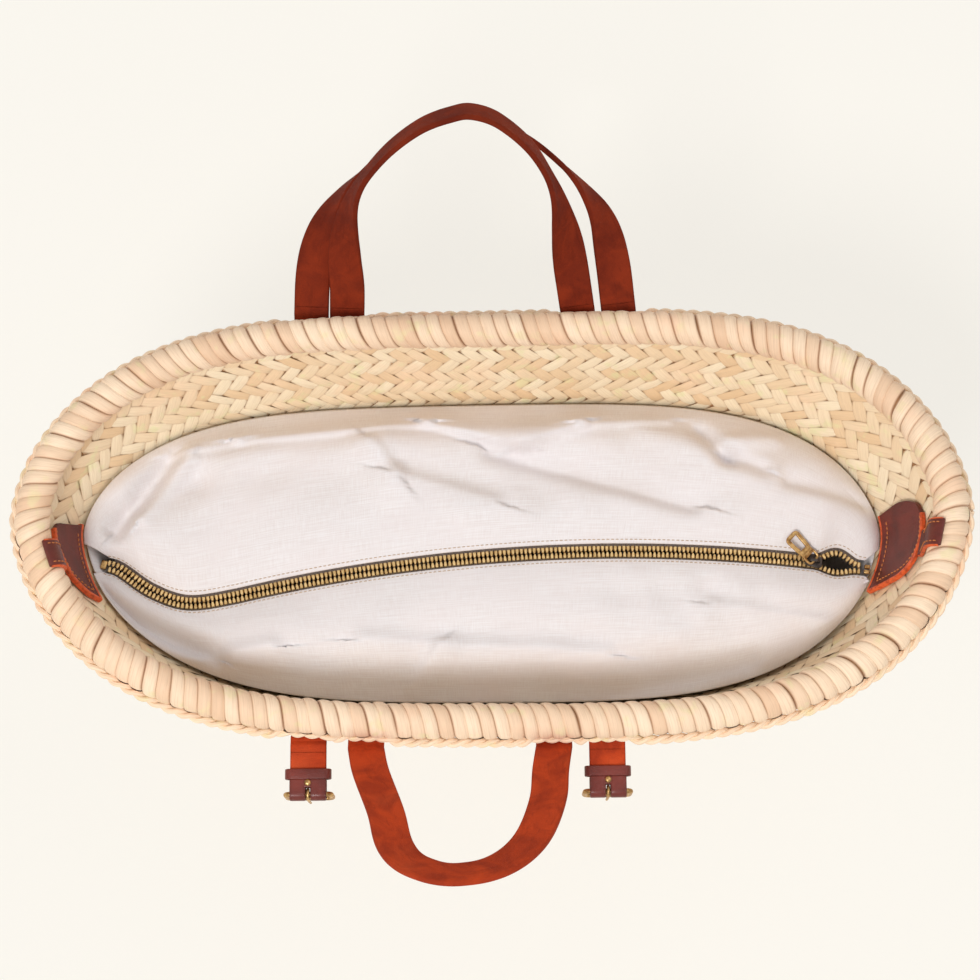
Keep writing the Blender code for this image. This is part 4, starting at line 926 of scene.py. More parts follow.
def base_plait(shape, sizes, seed):
    """The same twill laid flat under the base, its crowns just touching the floor."""
    rng = np.random.default_rng(seed)
    width = math.sqrt(0.5) * sizes.cell
    t, q = np.meshgrid(np.linspace(-1, 1, 7), np.linspace(-1, 1, 4), indexing="ij")
    half = (BASE_LENGTH / 2 - BASE_ROUND, BASE_DEPTH / 2 - BASE_ROUND)
    nx, ny = int(half[0] / sizes.cell) + 1, int(half[1] / sizes.cell) + 1
    cx, cy = np.meshgrid(np.arange(-nx, nx + 1), np.arange(-ny, ny + 1), indexing="ij")
    lean = np.where(cy % 2, 1.0, -1.0)
    cx = (cx + 0.5 * (cy % 2)) * sizes.cell
    cy = cy * sizes.cell
    keep = np.abs(cy) < half[1] * depth_share(np.clip(np.abs(cx) / half[0], 0, 1))
    cx, cy, lean = cx[keep], cy[keep], lean[keep]
    count = len(cx)
    turn = (lean * math.pi / 4 + rng.normal(0, 0.03, count))[:, None, None]
    x = cx[:, None, None] + t * 1.25 * width * np.cos(turn) - q * 0.485 * width * np.sin(turn)
    y = cy[:, None, None] + t * 1.25 * width * np.sin(turn) + q * 0.485 * width * np.cos(turn)
    raised = sizes.crown * (1 - 1.15 * t ** 2) + 0.00035 * (1 - q ** 2)
    z = np.broadcast_to(0.0015 - raised, x.shape)
    tone = np.clip(rng.normal(0.5, 0.26, count), 0, 1)
    uv = np.stack([t * 1.25 * width, q * width / 2], axis=-1)[None] + rng.uniform(0, 3, (count, 1, 1, 2))
    # The edge value drives the painted shade on each strand's sides and ends.
    shape.grid(np.stack([x, y, z], axis=-1), flip=True, tone=tone, uv=uv,
               edge=np.broadcast_to(np.abs(q) ** 3 * 0.75 + np.abs(t) ** 4 * 0.6, x.shape))


def wall_core(shape):
    """Closed shell under the plait: outside from the base up, over the top and down inside."""
    a = np.linspace(0, 2 * math.pi, 360, endpoint=False)[:, None]
    shares = np.concatenate([np.linspace(0, FOOT_SHARE, 7), np.linspace(FOOT_SHARE, 1, 40)[1:]])
    outer = skin(a, shares[None], np.full((1, 1), 0.0019))
    inner = skin(a, shares[None, ::-1], np.full((1, 1), WALL - 0.0016))
    inner[..., 2] += np.where(shares[::-1] < FOOT_SHARE, 0.0, 0.0)[None]
    rings = np.concatenate([outer, inner], axis=1).transpose(1, 0, 2)
    shape.grid(rings, wrap_v=True, caps=True)


# Rim

def rim_core(shape):
    path, out, _ = rim_path(360)
    sweep(shape, path, out, UP, disc_section(ROLL_RADIUS - 0.0014, 20), closed=True)


def rim_wraps(shape, sizes, seed):
    """Leaf wound round the roll: each turn a pillow across, moved on by one pitch in a full turn."""
    rng = np.random.default_rng(seed)
    count = sizes.wraps
    path, out, run = rim_path(2400)
    index = np.arange(len(path) + 1)
    u, phi = np.meshgrid(np.linspace(0, 1, 9), np.linspace(0, 2 * math.pi, 29), indexing="ij")
    start = np.arange(count)[:, None, None] + rng.normal(0, 0.05, count)[:, None, None]
    bend = rng.normal(0, 0.05, count)[:, None, None]
    slant = -2 * phi / (2 * math.pi) + (0.22 + bend) * np.sin(phi)
    place = ((start + u * 1.12 + slant) / count) % 1.0
    at = place * len(path)
    ring = np.stack([np.interp(at, index, np.append(path[:, k], path[0, k])) for k in range(3)], axis=-1)
    away = unit(np.stack([np.interp(at, index, np.append(out[:, k], out[0, k])) for k in range(3)], axis=-1))
    pillow = (1 - np.abs(2 * u - 1) ** 3.2) * (1 - 0.30 * u) + 0.10 * np.sin(5 * phi + start) * u
    swell = 1 + rng.normal(0, 0.14, count)[:, None, None]
    radius = ROLL_RADIUS - 0.0012 + sizes.wrap_crown * pillow * swell
    points = ring + radius[..., None] * (np.cos(phi)[..., None] * away + np.sin(phi)[..., None] * UP)
    tone = np.clip(rng.normal(0.6, 0.24, count), 0, 1)
    uv = np.stack([phi * ROLL_RADIUS, u * run / count], axis=-1)[None] + rng.uniform(0, 3, (count, 1, 1, 2))
    # The edge value drives the painted shade where neighbouring wraps meet.
    shape.grid(points, flip=False, tone=tone, uv=uv,
               edge=np.broadcast_to(np.abs(2 * u - 1) ** 3.5, points.shape[:3]))


def rim_edging(shape, sizes):
    """Two strands twisted together under the roll's outer edge; each is a helix round one line."""
    path, out, run = rim_path(1280)
    straps = [(side, x) for side, left, right, *_ in LOOPS.values() for x in (left, right)]
    straps += [(-1, x) for x in BUCKLES.values()]
    free = np.ones(len(path))
    for side, x in straps:
        near = 1 - np.clip((np.abs(path[:, 0] - x) - 0.0105) / 0.006, 0, 1)
        free = np.minimum(free, 1 - near * (np.sign(path[:, 1]) == side))
    line = path + out * (0.0083 + 0.0022 * free)[:, None] - UP * (0.0040 + 0.0008 * free)[:, None]
    turns = sizes.wraps // 2
    theta = np.linspace(0, 2 * math.pi * turns, len(path), endpoint=False)
    for k in (0, 1):
        a = theta + k * math.pi
        strand = line + sizes.cord * 0.80 * (np.cos(a)[:, None] * out + np.sin(a)[:, None] * UP)
        round_bar(shape, strand, sizes.cord, closed=True, steps=8, tone=0.75 + 0.2 * k)


# Lining

def fold_height(x, y, folds):
    """Sum of ridges; each falls off as a bell curve with the distance from its line."""
    total = np.zeros_like(x)
    for first, last, rise, width in folds:
        start = np.array((first[0] * MOUTH_LENGTH, first[1] * MOUTH_DEPTH))
        along = np.array((last[0] * MOUTH_LENGTH, last[1] * MOUTH_DEPTH)) - start
        share = ((x - start[0]) * along[0] + (y - start[1]) * along[1]) / np.dot(along, along)
        share = np.clip(share, 0, 1)
        gap = np.hypot(x - start[0] - along[0] * share, y - start[1] - along[1] * share)
        total += rise * FOLD_RISE * np.exp(-(gap / (width * FOLD_WIDTH)) ** 2)
    return total


def crease_height(x, y, creases):
    """Sum of folds with a steep and a gentle side: a bell curve of another width on each side."""
    total = np.zeros_like(x)
    for first, last, rise, left, right in creases:
        along = np.array(last) - np.array(first)
        share = np.clip(((x - first[0]) * along[0] + (y - first[1]) * along[1]) / np.dot(along, along), 0, 1)
        dx, dy = x - first[0] - along[0] * share, y - first[1] - along[1] * share
        width = np.where(along[0] * dy - along[1] * dx > 0, left, right)
        total += CREASE_GAIN * rise * np.exp(-(dx ** 2 + dy ** 2) / width ** 2)
    return total


def panel_surface(side, folds, columns, rows, seed):
    """Half of the lining's top: straight from the fold edge to the seam, crowned, with folds."""
    rng = np.random.default_rng(seed)
    edge = beside(tooth_row(side), side, FOLD_EDGE)
    first = float(end_angle(-1, edge[0, 1] + side * SEAM_SPREAD, hem_height(math.pi)))
    last = float(end_angle(1, edge[-1, 1] + side * SEAM_SPREAD, hem_height(0.0)))
    if side < 0:
        first -= 2 * math.pi
    t = np.linspace(0, 1, columns)
    angle = first + (last - first) * t
    x = edge[0, 0] + (edge[-1, 0] - edge[0, 0]) * (1 - np.cos(math.pi * t)) / 2
    near = np.column_stack([x, np.interp(x, edge[:, 0], edge[:, 1]),
                            np.interp(x, edge[:, 0], edge[:, 2]) + PANEL_RAISE])
    far = wall_point(angle, hem_height(angle), WALL + PANEL_WALL_GAP)
    share = np.linspace(0, 1, rows)[None, :, None]
    points = near[:, None] * (1 - share) + far[:, None] * share
    crown = 4 * share[..., 0] * (1 - share[..., 0])
    window = np.minimum(1.0, crown / 0.72)
    tight = np.minimum(1.0, np.linalg.norm(far - near, axis=1) / BULGE_SPAN)[:, None]
    points[..., 2] += PANEL_BULGE * crown * tight
    px, py = points[..., 0], points[..., 1]
    points[..., 2] += (fold_height(px, py, folds) + crease_height(px, py, CREASES[side])) * window
    ripple = np.zeros_like(px)
    for _ in range(14):
        heading = rng.normal(0, 0.5) + (0.0 if rng.uniform() < 0.7 else 1.2)
        wave = rng.uniform(90, 260)
        fade = np.exp(-((px - rng.uniform(-0.2, 0.2)) / 0.06) ** 2 - ((py - side * rng.uniform(0.01, 0.09)) / 0.03) ** 2)
        ripple += 0.0007 * fade * np.sin(wave * (px * math.sin(heading) + py * math.cos(heading)) + rng.uniform(0, 6))
    points[..., 2] += ripple * window
    return points


def lining_panel(name, side, folds, material, sizes, seed):
    """Panel with its edge at the zip turned under round a small roll."""
    points = panel_surface(side, folds, 300, 84, seed)
    edge = points[:, 0]
    inner = unit(points[:, 2] - points[:, 0])
    ahead = tangents(edge)
    up = unit(np.cross(ahead, inner)) * side
    up *= np.sign(up[:, 2:])
    roll = 0.0007
    turns = np.linspace(-math.pi / 2, math.pi / 2, 7)
    curl = [edge + inner * (0.0035 + roll) - up * 2 * roll, edge + inner * (0.0015 + roll) - up * 2 * roll]
    for a in turns:
        curl.append(edge + inner * (roll - roll * math.cos(a)) + up * (roll * math.sin(a) - roll))
    grid = np.concatenate([np.stack(curl, axis=1), points[:, 2:]], axis=1)
    shape = Shape(name)
    shape.grid(grid, flip=side > 0)
    obj = shape.make(material, sharp=math.radians(80.0))
    solid = obj.modifiers.new("thickness", "SOLIDIFY")
    solid.thickness = sizes.cloth
    solid.offset = 0.0
    run = np.concatenate([np.zeros((len(points), 1)), np.cumsum(
        np.linalg.norm(np.diff(points, axis=1), axis=2), axis=1)], axis=1)
    line = np.array([[np.interp(0.0021, run[i], points[i, :, k]) for k in range(3)] for i in range(len(points))])
    seam = Shape(name + "_stitches")
    stitches(seam, line[3:-3] + up[3:-3] * sizes.cloth * 0.5, up[3:-3], sizes.stitch * 0.75, 0.00024)
    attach(seam.make(FINISH["seam"]), "basket")
    return obj


def lining_bag(material, sizes):
    """Cloth bag behind the panels: floor, round foot and wall as one cup."""
    a = np.linspace(0, 2 * math.pi, 160, endpoint=False)[:, None]
    shares = np.concatenate([np.linspace(0, FOOT_SHARE, 6), np.linspace(FOOT_SHARE, 1, 24)[1:]])[None]
    inset = WALL + 0.0021
    top = (hem_height(a) - 0.0016) / wall_top(np.cos(a))
    wall = skin(a, shares * top, np.full((1, 1), inset)).transpose(1, 0, 2)
    floor = [wall[0] * (s, s, 1.0) for s in (0.02, 0.35, 0.7)]
    grid = np.concatenate([np.array(floor), wall])
    shape = Shape("lining_cloth_bag")
    shape.grid(grid, wrap_v=True, flip=True)
    obj = shape.make(material)
    solid = obj.modifiers.new("thickness", "SOLIDIFY")
    solid.thickness = sizes.cloth
    solid.offset = 0.0
    return obj


# Zip

def tooth_grid(long, wide, high):
    """One tooth: a box rounded by powers, its rings from end to end."""
    a = np.linspace(0, 2 * math.pi, 8, endpoint=False) + math.pi / 8
    ring = np.stack([np.sign(np.cos(a)) * np.abs(np.cos(a)) ** 0.5, np.sign(np.sin(a)) * np.abs(np.sin(a)) ** 0.5],
                    axis=1)
    out = []
    for level, size in ((-1, 0.55), (-0.8, 0.95), (0.0, 1.0), (0.8, 0.95), (1, 0.55)):
        out.append(np.column_stack([ring[:, 0] * size * long / 2, np.full(8, level * wide / 2),
                                    ring[:, 1] * size * high / 2]))
    return np.array(out)


def zip_teeth(shape, side, sizes):
    """Teeth at an even pitch along one row, the two rows half a pitch apart so that they mesh."""
    row = tooth_row(side)
    run = lengths(row)
    start = 0.3 if side > 0 else 0.8
    wanted = np.arange(start * sizes.tooth, run[-1] - 0.0008, sizes.tooth)
    centre = np.stack([np.interp(wanted, run, row[:, k]) for k in range(3)], axis=1)
    ahead = tangents(row)
    ahead = unit(np.stack([np.interp(wanted, run, ahead[:, k]) for k in range(3)], axis=1))
    across = unit(np.cross(UP, ahead)) * side
    rise = np.cross(ahead, across * side)
    tooth = tooth_grid(0.0020, 0.0032, TOOTH_HEIGHT)
    tooth = tooth * np.where(tooth[..., 1:2] < 0, (0.60, 1.0, 1.0), (1.0, 1.0, 1.0)) + (0.0, 0.00025, 0.0)
    points = (centre[:, None, None] + tooth[None, ..., :1] * ahead[:, None, None]
              + tooth[None, ..., 1:2] * across[:, None, None] + tooth[None, ..., 2:] * rise[:, None, None])
    shape.grid(points, wrap_v=True, caps=True, flip=side > 0)
    return centre


def zip_tape(shape, side):
    """Woven strip that carries the teeth, with a raised bead along its inner edge."""
    row = tooth_row(side)[4:-4]
    ahead = tangents(row)
    across = unit(np.cross(UP, ahead)) * side
    rise = unit(np.cross(ahead, across)) * side
    middle = row + across * 0.0040
    sweep(shape, middle, across, rise, strap_section(0.0046, 0.0007, 0.0003))
    round_bar(shape, row + across * 0.0019 - rise * 0.0002, 0.0005, steps=6)


def zip_stop(shape, centre, ahead, wide):
    rise = UP - ahead * np.dot(UP, ahead)
    across = np.cross(rise, ahead)
    path = centre + np.outer(np.linspace(-0.0012, 0.0012, 5), ahead)
    sweep(shape, path, across, unit(rise), rounded_section(wide, TOOTH_HEIGHT, 0.0006), soft=0.0004)


def slider_body(shape):
    """Slider: two domed shields joined by a neck."""
    x = np.linspace(-1, 1, 15)
    long = 0.0044
    wide = np.interp(x, (-1, -0.6, 0.0, 0.6, 1), (0.55, 0.78, 0.86, 1.0, 0.72))
    for top in (1, -1):
        low = TOOTH_HEIGHT / 2 + 0.0003
        mid = low + 0.0008 if top > 0 else low + 0.0005
        place = slider_place(top * mid)
        path = put(place, np.column_stack([x * long, 0 * x, 0 * x]))
        side_way = turn_only(place, (0, 1, 0))
        up_way = turn_only(place, (0, 0, 1))
        dome = np.interp(np.abs(x), (0, 0.7, 1), (1.0, 0.85, 0.45))
        section = rounded_section(0.0072, 0.0014, 0.0006, 4)
        sweep(shape, path, side_way, up_way, section, soft=0.0004, scale=np.column_stack([wide, dome]))
    place = slider_place(0)
    neck = put(place, [(0.0032, 0, -0.0016), (0.0032, 0, 0.0), (0.0032, 0, 0.0016)])
    round_bar(shape, neck, 0.0007, steps=8)


def slider_bridge(shape):
    """Arch of flattened wire over the slider that holds the pull tab's bar."""
    place = slider_place(SLIDER_TOP)
    turn = np.linspace(0, math.pi, 19)
    arch = np.column_stack([0.0027 * np.sign(np.cos(turn)) * np.abs(np.cos(turn)) ** 0.6, 0 * turn,
                            0.0031 * np.sin(turn) ** 0.6 - 0.0006])
    across = turn_only(place, (0, 1, 0))
    path = put(place, arch)
    thick = unit(np.cross(tangents(path), across))
    sweep(shape, path, across, thick, rounded_section(0.0017, 0.0011, 0.0004, 3), soft=0.0002)


def pull_tab(shape):
    """Pull tab: an eye round the bridge and a grip with a long window, as two closed bars."""
    lift = TOOTH_HEIGHT / 2 + 0.0003 + 0.0022 + 0.0017
    turn = Matrix.Rotation(math.radians(143.0), 4, "Z") @ Matrix.Rotation(-math.radians(16.0), 4, "Y")
    place = slider_place(lift) @ turn
    up_way = turn_only(place, (0, 0, 1))
    web = put(place, [(0.0040, 0, 0), (0.0060, 0, 0), (0.0086, 0, 0)])
    sweep(shape, web, turn_only(place, (0, 1.0, 0)), up_way, rounded_section(0.0074, 0.0013, 0.0004), soft=0.0002)
    for x0, x1, outer0, outer1, bar in ((-0.0007, 0.0062, 0.0080, 0.0082, 0.0013),
                                        (0.0060, 0.0195, 0.0082, 0.0092, 0.0023)):
        r = 0.0014
        corners = []
        for (cx, w, sx, sy) in ((x1, outer1, 1, 1), (x0, outer0, -1, 1), (x0, outer0, -1, -1), (x1, outer1, 1, -1)):
            q = {(1, 1): 0, (-1, 1): 1, (-1, -1): 2, (1, -1): 3}[(sx, sy)]
            for a in np.linspace(0, math.pi / 2, 6) + q * math.pi / 2:
                corners.append((cx - sx * (bar / 2 + r) + r * math.cos(a), sy * (w / 2 - bar / 2 - r) + r * math.sin(a), 0))
        loop = put(place, even(np.array(corners + corners[:1]), 60)[:-1])
        ahead = tangents(loop, closed=True)
        wide = np.cross(ahead, up_way)
        sweep(shape, loop, wide, np.broadcast_to(up_way, wide.shape), rounded_section(bar, 0.0015, 0.0005, 3),
              closed=True)


# Leather

def band_edge(section, width):
    """How near each point of a strap's section is to the strap's edge."""
    return np.clip((np.abs(section[:, 0]) - (width / 2 - 0.0016)) / 0.0016, 0, 1)


def leather_strap(shape, path, wide, thick, width, thickness, soft=0.0008, scale=None, tone=0.5):
    section = strap_section(width, thickness, min(thickness * 0.42, 0.0011))
    rows = len(path) + (4 if soft > 0 else 0)
    edge = np.broadcast_to(band_edge(section, width)[None, None], (1, rows, len(section)))
    sweep(shape, path, wide, thick, section, soft=soft, scale=scale, edge=edge, tone=tone)


def loop_frames(name, count=150):
    """Centre line of a loop with its width direction, flat at the rim and on edge at the crown."""
    side, left, right, rise, lean, shares, crown = LOOPS[name]
    flat = spline([(left + (right - left) * x, rise * y) for x, y in shares], 38)
    line = catmull(flat, 6)
    line = even(line, count)
    share = np.linspace(0, 1, count)
    near = np.minimum(share, 1 - share)
    u = np.clip((near - 0.04) / (0.30 - 0.04), 0, 1)
    tilt = math.pi / 2 + (crown - math.pi / 2) * (u * u * (3 - 2 * u))
    place = place_at(hinge_line(side, HINGE_OUT, HINGE_DROP), (1, 0, 0), outward(side, lean))
    ahead = tangents(line)
    in_plane = np.column_stack([-ahead[:, 1], ahead[:, 0], np.zeros(count)])
    wide = np.cos(tilt)[:, None] * UP - np.sin(tilt)[:, None] * in_plane
    path = put(place, np.column_stack([line, np.zeros(count)]))
    wide = turn_only(place, wide)
    ahead = tangents(path)
    return path, wide, np.cross(ahead, wide)


def end_path(side, x, hinge, flex_gap, leave_angle):
    """Side view of a strap's sewn end, from the bending line down the outside of the wall."""
    leave = outward(1, leave_angle)
    gap = STRAP / 2 + flex_gap
    start = (abs(hinge.y) + leave.y * gap, hinge.z + leave.z * gap)
    second = (abs(hinge.y) + leave.y * 3 * gap, hinge.z + leave.z * 3 * gap)
    knee = hinge.z - 0.017
    points = [start, second]
    for share in (0.0, 0.25, 0.5, 0.75, 1.0):
        height = knee + (0.176 - knee) * share
        points.append((wall_depth(x, height, side, STRAP_WIDTH) + 0.0006 + STRAP / 2, height))
    line = spline(points, 46)
    return np.column_stack([np.full(46, x), side * line[:, 0], line[:, 1]])


def bend(name, body, ends, start, last, finish):
    """The piece of strap at the bending line; its width direction turns to the moving part's."""
    line = np.vstack([ends[3::-1], start[:4]])
    path = catmull(line, 5)[4:-4]
    last = np.array(last) * np.sign(last[0])
    share = np.clip((np.linspace(0, 1, len(path)) - 0.35) / 0.5, 0, 1)[:, None]
    wide = unit((1 - share) * np.array((1.0, 0.0, 0.0)) + share * last)
    thick = unit(np.cross(tangents(path), wide))
    shape = Shape(name + "_bend_leather")
    leather_strap(shape, path, wide, thick, STRAP_WIDTH, STRAP, 0.0)
    piece = shape.make(finish["leather"])
    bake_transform(piece)


def strap_end(name, side, x, hinge, flex_gap, leave_angle, finish):
    """Sewn end with a rounded foot, two rows of stitches and its rivet."""
    path = end_path(side, x, hinge, flex_gap, leave_angle)[2:]
    thick = np.cross(tangents(path), (1.0, 0.0, 0.0))
    thick *= np.sign(thick[:, 1:2] * side)
    left = lengths(path)[-1] - lengths(path)
    foot = np.sqrt(np.clip(1 - np.clip(1 - left / 0.006, 0, 1) ** 2 * 0.75, 0.05, 1))
    shape = Shape(name + "_leather")
    leather_strap(shape, path, (1.0, 0.0, 0.0), thick, STRAP_WIDTH, STRAP, 0.0006,
                  np.column_stack([foot, np.ones(len(path))]))
    obj = shape.make(finish["leather"])
    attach(obj, "basket")
    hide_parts(name)
    seams = Shape(name + "_stitches")
    run = lengths(path)
    for edge in (-1, 1):
        keep = (run > 0.014) & (left > 0.0035)
        line = path[keep] + thick[keep] * (STRAP / 2) + np.array((edge * (STRAP_WIDTH / 2 - 0.0024), 0, 0))
        stitches(seams, line, thick[keep], finish["pitch"])
    seam = seams.make(finish["thread"])
    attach(seam, "basket")
    rivet_at(name, side, x, finish)


def stitches(shape, line, out, pitch, radius=0.00034):
    """Short raised threads along a line; each is a bead on an arc that dips at its ends."""
    run = lengths(line)
    count = max(2, int(run[-1] / pitch))
    centre = (np.arange(count) + 0.5) * run[-1] / count
    u = np.linspace(-1, 1, 5)
    at = centre[:, None] + u[None] * pitch * 0.36
    path = np.stack([np.interp(at, run, line[:, k]) for k in range(3)], axis=-1)
    lift = np.stack([np.interp(at, run, out[:, k]) for k in range(3)], axis=-1)
    path = path + lift * (radius * 0.75 - radius * 1.1 * u ** 4)[None, :, None]
    ahead = unit(np.gradient(path, axis=1))
    side = unit(np.cross(ahead, lift))
    a = np.linspace(0, 2 * math.pi, 6, endpoint=False)
    size = radius * np.array((0.5, 0.95, 1.0, 0.95, 0.5))[None, :, None, None]
    ring = (np.cos(a)[:, None] * side[:, :, None] + np.sin(a)[:, None] * lift[:, :, None]) * size
    shape.grid(path[:, :, None] + ring, wrap_v=True, caps=True, flip=True)


def rivet_at(name, side, x, finish):
    """Domed rivet with a low collar, standing on the strap's outer face."""
    height = 0.190
    seat = wall_depth(x, height, side, STRAP_WIDTH) + 0.0006
    low = wall_depth(x, height - STRAP, side, STRAP_WIDTH)
    high = wall_depth(x, height + STRAP, side, STRAP_WIDTH)
    slope = math.atan2(high - low, 2 * STRAP)
    out_way = Vector((0.0, side * math.cos(slope), -math.sin(slope)))
    up_way = Vector((0.0, side * math.sin(slope), math.cos(slope)))
    place = place_at(Vector((x, side * seat, height)) + out_way * STRAP, up_way.cross(out_way), up_way)
    a = np.linspace(math.pi / 2, 0.15, 8)
    dome = [(0.0027 * math.cos(t), 0.0005 + 0.0011 * math.sin(t)) for t in a]
    profile = dome + [(0.0029, 0.0006), (0.0034, 0.0005), (0.0035, 0.0003), (0.0034, 0.0001), (0.0015, 0.0),
                      (0.0015, -STRAP), (0.0, -STRAP)]
    shape = Shape(name + "_rivet_brass")
    turned(shape, profile, place)
    obj = shape.make(finish["brass"])
    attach(obj, "basket")
    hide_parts(name + "_rivet")


def slab(shape, outer, inner, tone=0.5):
    """Closed piece between two grids of the same size, joined round their border."""
    n, m = outer.shape[:2]
    edge = np.zeros((n, m))
    edge[[0, -1]] = 1
    edge[:, [0, -1]] = 1
    full = np.concatenate([outer, inner[:, ::-1]], axis=1)
    flags = np.concatenate([edge, edge[:, ::-1]], axis=1)[None]
    shape.grid(full, wrap_v=True, tone=tone, edge=flags)
    strip = np.arange(m)
    base = shape.count - n * 2 * m
    for row, back in ((0, False), (n - 1, True)):
        first = base + row * 2 * m + strip
        second = base + row * 2 * m + 2 * m - 1 - strip
        quads = np.stack([first[:-1], first[1:], second[1:], second[:-1]], axis=1)
        if back:
            quads = quads[:, ::-1]
        shape.faces.append(quads.reshape(-1))
        shape.uvs.append(np.zeros((quads.size, 2)))
        shape.sizes.append(np.full(len(quads), 4))
    return shape


def face_out(obj):
    """Turn all faces of a closed piece outward."""
    mesh = obj.data
    work = bmesh.new()
    work.from_mesh(mesh)
    bmesh.ops.recalc_face_normals(work, faces=work.faces)
    work.to_mesh(mesh)
    work.free()
    return obj


def end_tab(word, finish):
    """Tab on the wall's inside over one zip end: a sheet of leather with a rounded top."""
    end, base, rise, front, back, _, rows = TABS[word]
    curve = catmull(rows, 12)
    share = np.sin(np.linspace(0, math.pi / 2, 30))
    height = base + rise * share
    low = front + (back - front) * np.interp(share, curve[:, 0], curve[:, 1])
    high = back - (back - front) * np.interp(share, curve[:, 0], curve[:, 2])
    k = np.linspace(0, 1, 26)
    y = low[:, None] + (high - low)[:, None] * k[None]
    level = np.repeat(height[:, None], len(k), axis=1)
    outer = end_point(end, y, level, WALL + 0.0006)
    inner = end_point(end, y, level, WALL + 0.0006 + 0.0025)
    shape = slab(Shape("zip_end_tab_%s_leather" % word), outer, inner)
    obj = face_out(shape.make(finish["trim"]))
    bevel = obj.modifiers.new("edges", "BEVEL")
    bevel.width = 0.0005
    bevel.segments = 2
    bevel.limit_method = "ANGLE"
    bevel.angle_limit = math.radians(50)
    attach(obj, "basket")
    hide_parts("zip_end_tab_" + word)
    middle = (outer + inner) / 2
    border = np.vstack([middle[0, ::-1], middle[1:, 0], middle[-1, 1:]])
    across = unit(inner - outer)
    facing = np.vstack([across[0, ::-1], across[1:, 0], across[-1, 1:]])
    line = even(border, 140)
    where = lengths(border)
    at = lengths(line)
    facing = unit(np.stack([np.interp(at, where, facing[:, i]) for i in range(3)], axis=1))
    side = np.cross(tangents(line), facing)
    paint = Shape("zip_end_tab_%s_edge" % word)
    sweep(paint, line, facing, side, rounded_section(0.0031, 0.0019, 0.0007), soft=0.0002)
    edge = paint.make(finish["edge"])
    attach(edge, "basket")
    seam = Shape("zip_end_tab_%s_stitches" % word)
    inset = 0.10
    u = np.clip((np.linspace(0, 1, 30) * (1 - 2 * inset) + inset) * 29, 0, 29)
    v = np.clip((np.linspace(0, 1, 26) * (1 - 2 * inset) + inset) * 25, 0, 25)
    face = inner[np.round(u).astype(int)][:, np.round(v).astype(int)]
    line = np.vstack([face[0, ::-1], face[1:, 0], face[-1, 1:]])
    out = -np.vstack([-across[0, ::-1], -across[1:, 0], -across[-1, 1:]])
    line = line[np.concatenate([[True], np.linalg.norm(np.diff(line, axis=0), axis=1) > 1e-5])]
    stitches(seam, line, out[:len(line)], 0.0026, 0.00034)
    thread = seam.make(finish["thread"])
    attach(thread, "basket")
    tab_anchor(word, finish)


def tab_anchor(word, finish):
    """Short strap from the tab's top, taut to the inside of the rim roll and over it."""
    end, base, rise, _, _, middle, _ = TABS[word]
    angle = float(end_angle(end, middle, WALL_TOP + END_RISE))
    top = float(wall_top(math.cos(angle)))
    roll = wall_point(angle, top, WALL / 2) + UP * (ROLL_RADIUS + FIT)
    outer = wall_point(angle, top, 0.0) - wall_point(angle, top, WALL)
    outer[2] = 0
    outer = unit(outer)
    seat = WALL + 0.0015 + 0.001
    start = base + rise + 0.0015
    flat = []
    for height in (start, start + 0.0025):
        foot = end_point(end, middle, height, seat) - roll
        flat.append((float(foot @ outer), float(foot[2])))
    reach = ROLL_RADIUS + 0.0009 + 0.001
    across, up = flat[-1]
    meet = math.atan2(up, across) % (2 * math.pi) - math.acos(reach / math.hypot(across, up))
    first = [np.array(flat[0]) + (np.array(flat[1]) - np.array(flat[0])) * s for s in (0, 0.5)]
    touch = np.array((reach * math.cos(meet), reach * math.sin(meet)))
    straight = [np.array(flat[1]) + (touch - np.array(flat[1])) * s for s in (0, 0.33, 0.66)]
    turn = np.linspace(meet, math.radians(118.0), 22)
    arc = np.column_stack([reach * np.cos(turn), reach * np.sin(turn)])
    line = even(np.vstack([first, straight, arc]), 40)
    path = roll + line[:, :1] * outer + line[:, 1:] * UP
    wide = np.cross(outer, UP)
    thick = np.cross(tangents(path), wide)
    thick *= np.sign(np.sum(thick * (path - roll), axis=1, keepdims=True))
    shape = Shape("tab_anchor_%s_leather" % word)
    leather_strap(shape, path, wide, thick, 0.015, 0.002, 0.0005)
    obj = shape.make(finish["trim"])
    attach(obj, "basket")
    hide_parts("tab_anchor_" + word)
    paint = Shape("tab_anchor_%s_edges" % word)
    seam = Shape("tab_anchor_%s_stitches" % word)
    for edge in (-1, 1):
        rim = path + wide * edge * 0.0074
        sweep(paint, rim[1:-1], thick[1:-1], wide, rounded_section(0.0021, 0.0008, 0.0003), soft=0.0002)
        stitches(seam, path[2:-2] + wide * edge * 0.0052 + thick[2:-2] * 0.001, thick[2:-2], 0.0026, 0.00032)
    for part, look in ((paint, "edge"), (seam, "thread")):
        piece = part.make(finish[look])
        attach(piece, "basket")


# Buckles

def buckle_place(x):
    origin = hinge_line(-1, BUCKLE_OUT, BUCKLE_DROP) + Vector((x, 0, 0))
    up = Vector((0.0, math.cos(BUCKLE_LEAN), math.sin(BUCKLE_LEAN)))
    return place_at(origin, outward(-1, BUCKLE_LEAN), up)


def local_sweep(shape, place, path, wide, thick, section, **more):
    world = put(place, path)
    wide = np.broadcast_to(turn_only(place, wide), world.shape)
    thick = turn_only(place, thick)
    sweep(shape, world, wide, np.broadcast_to(thick, world.shape), section, **more)


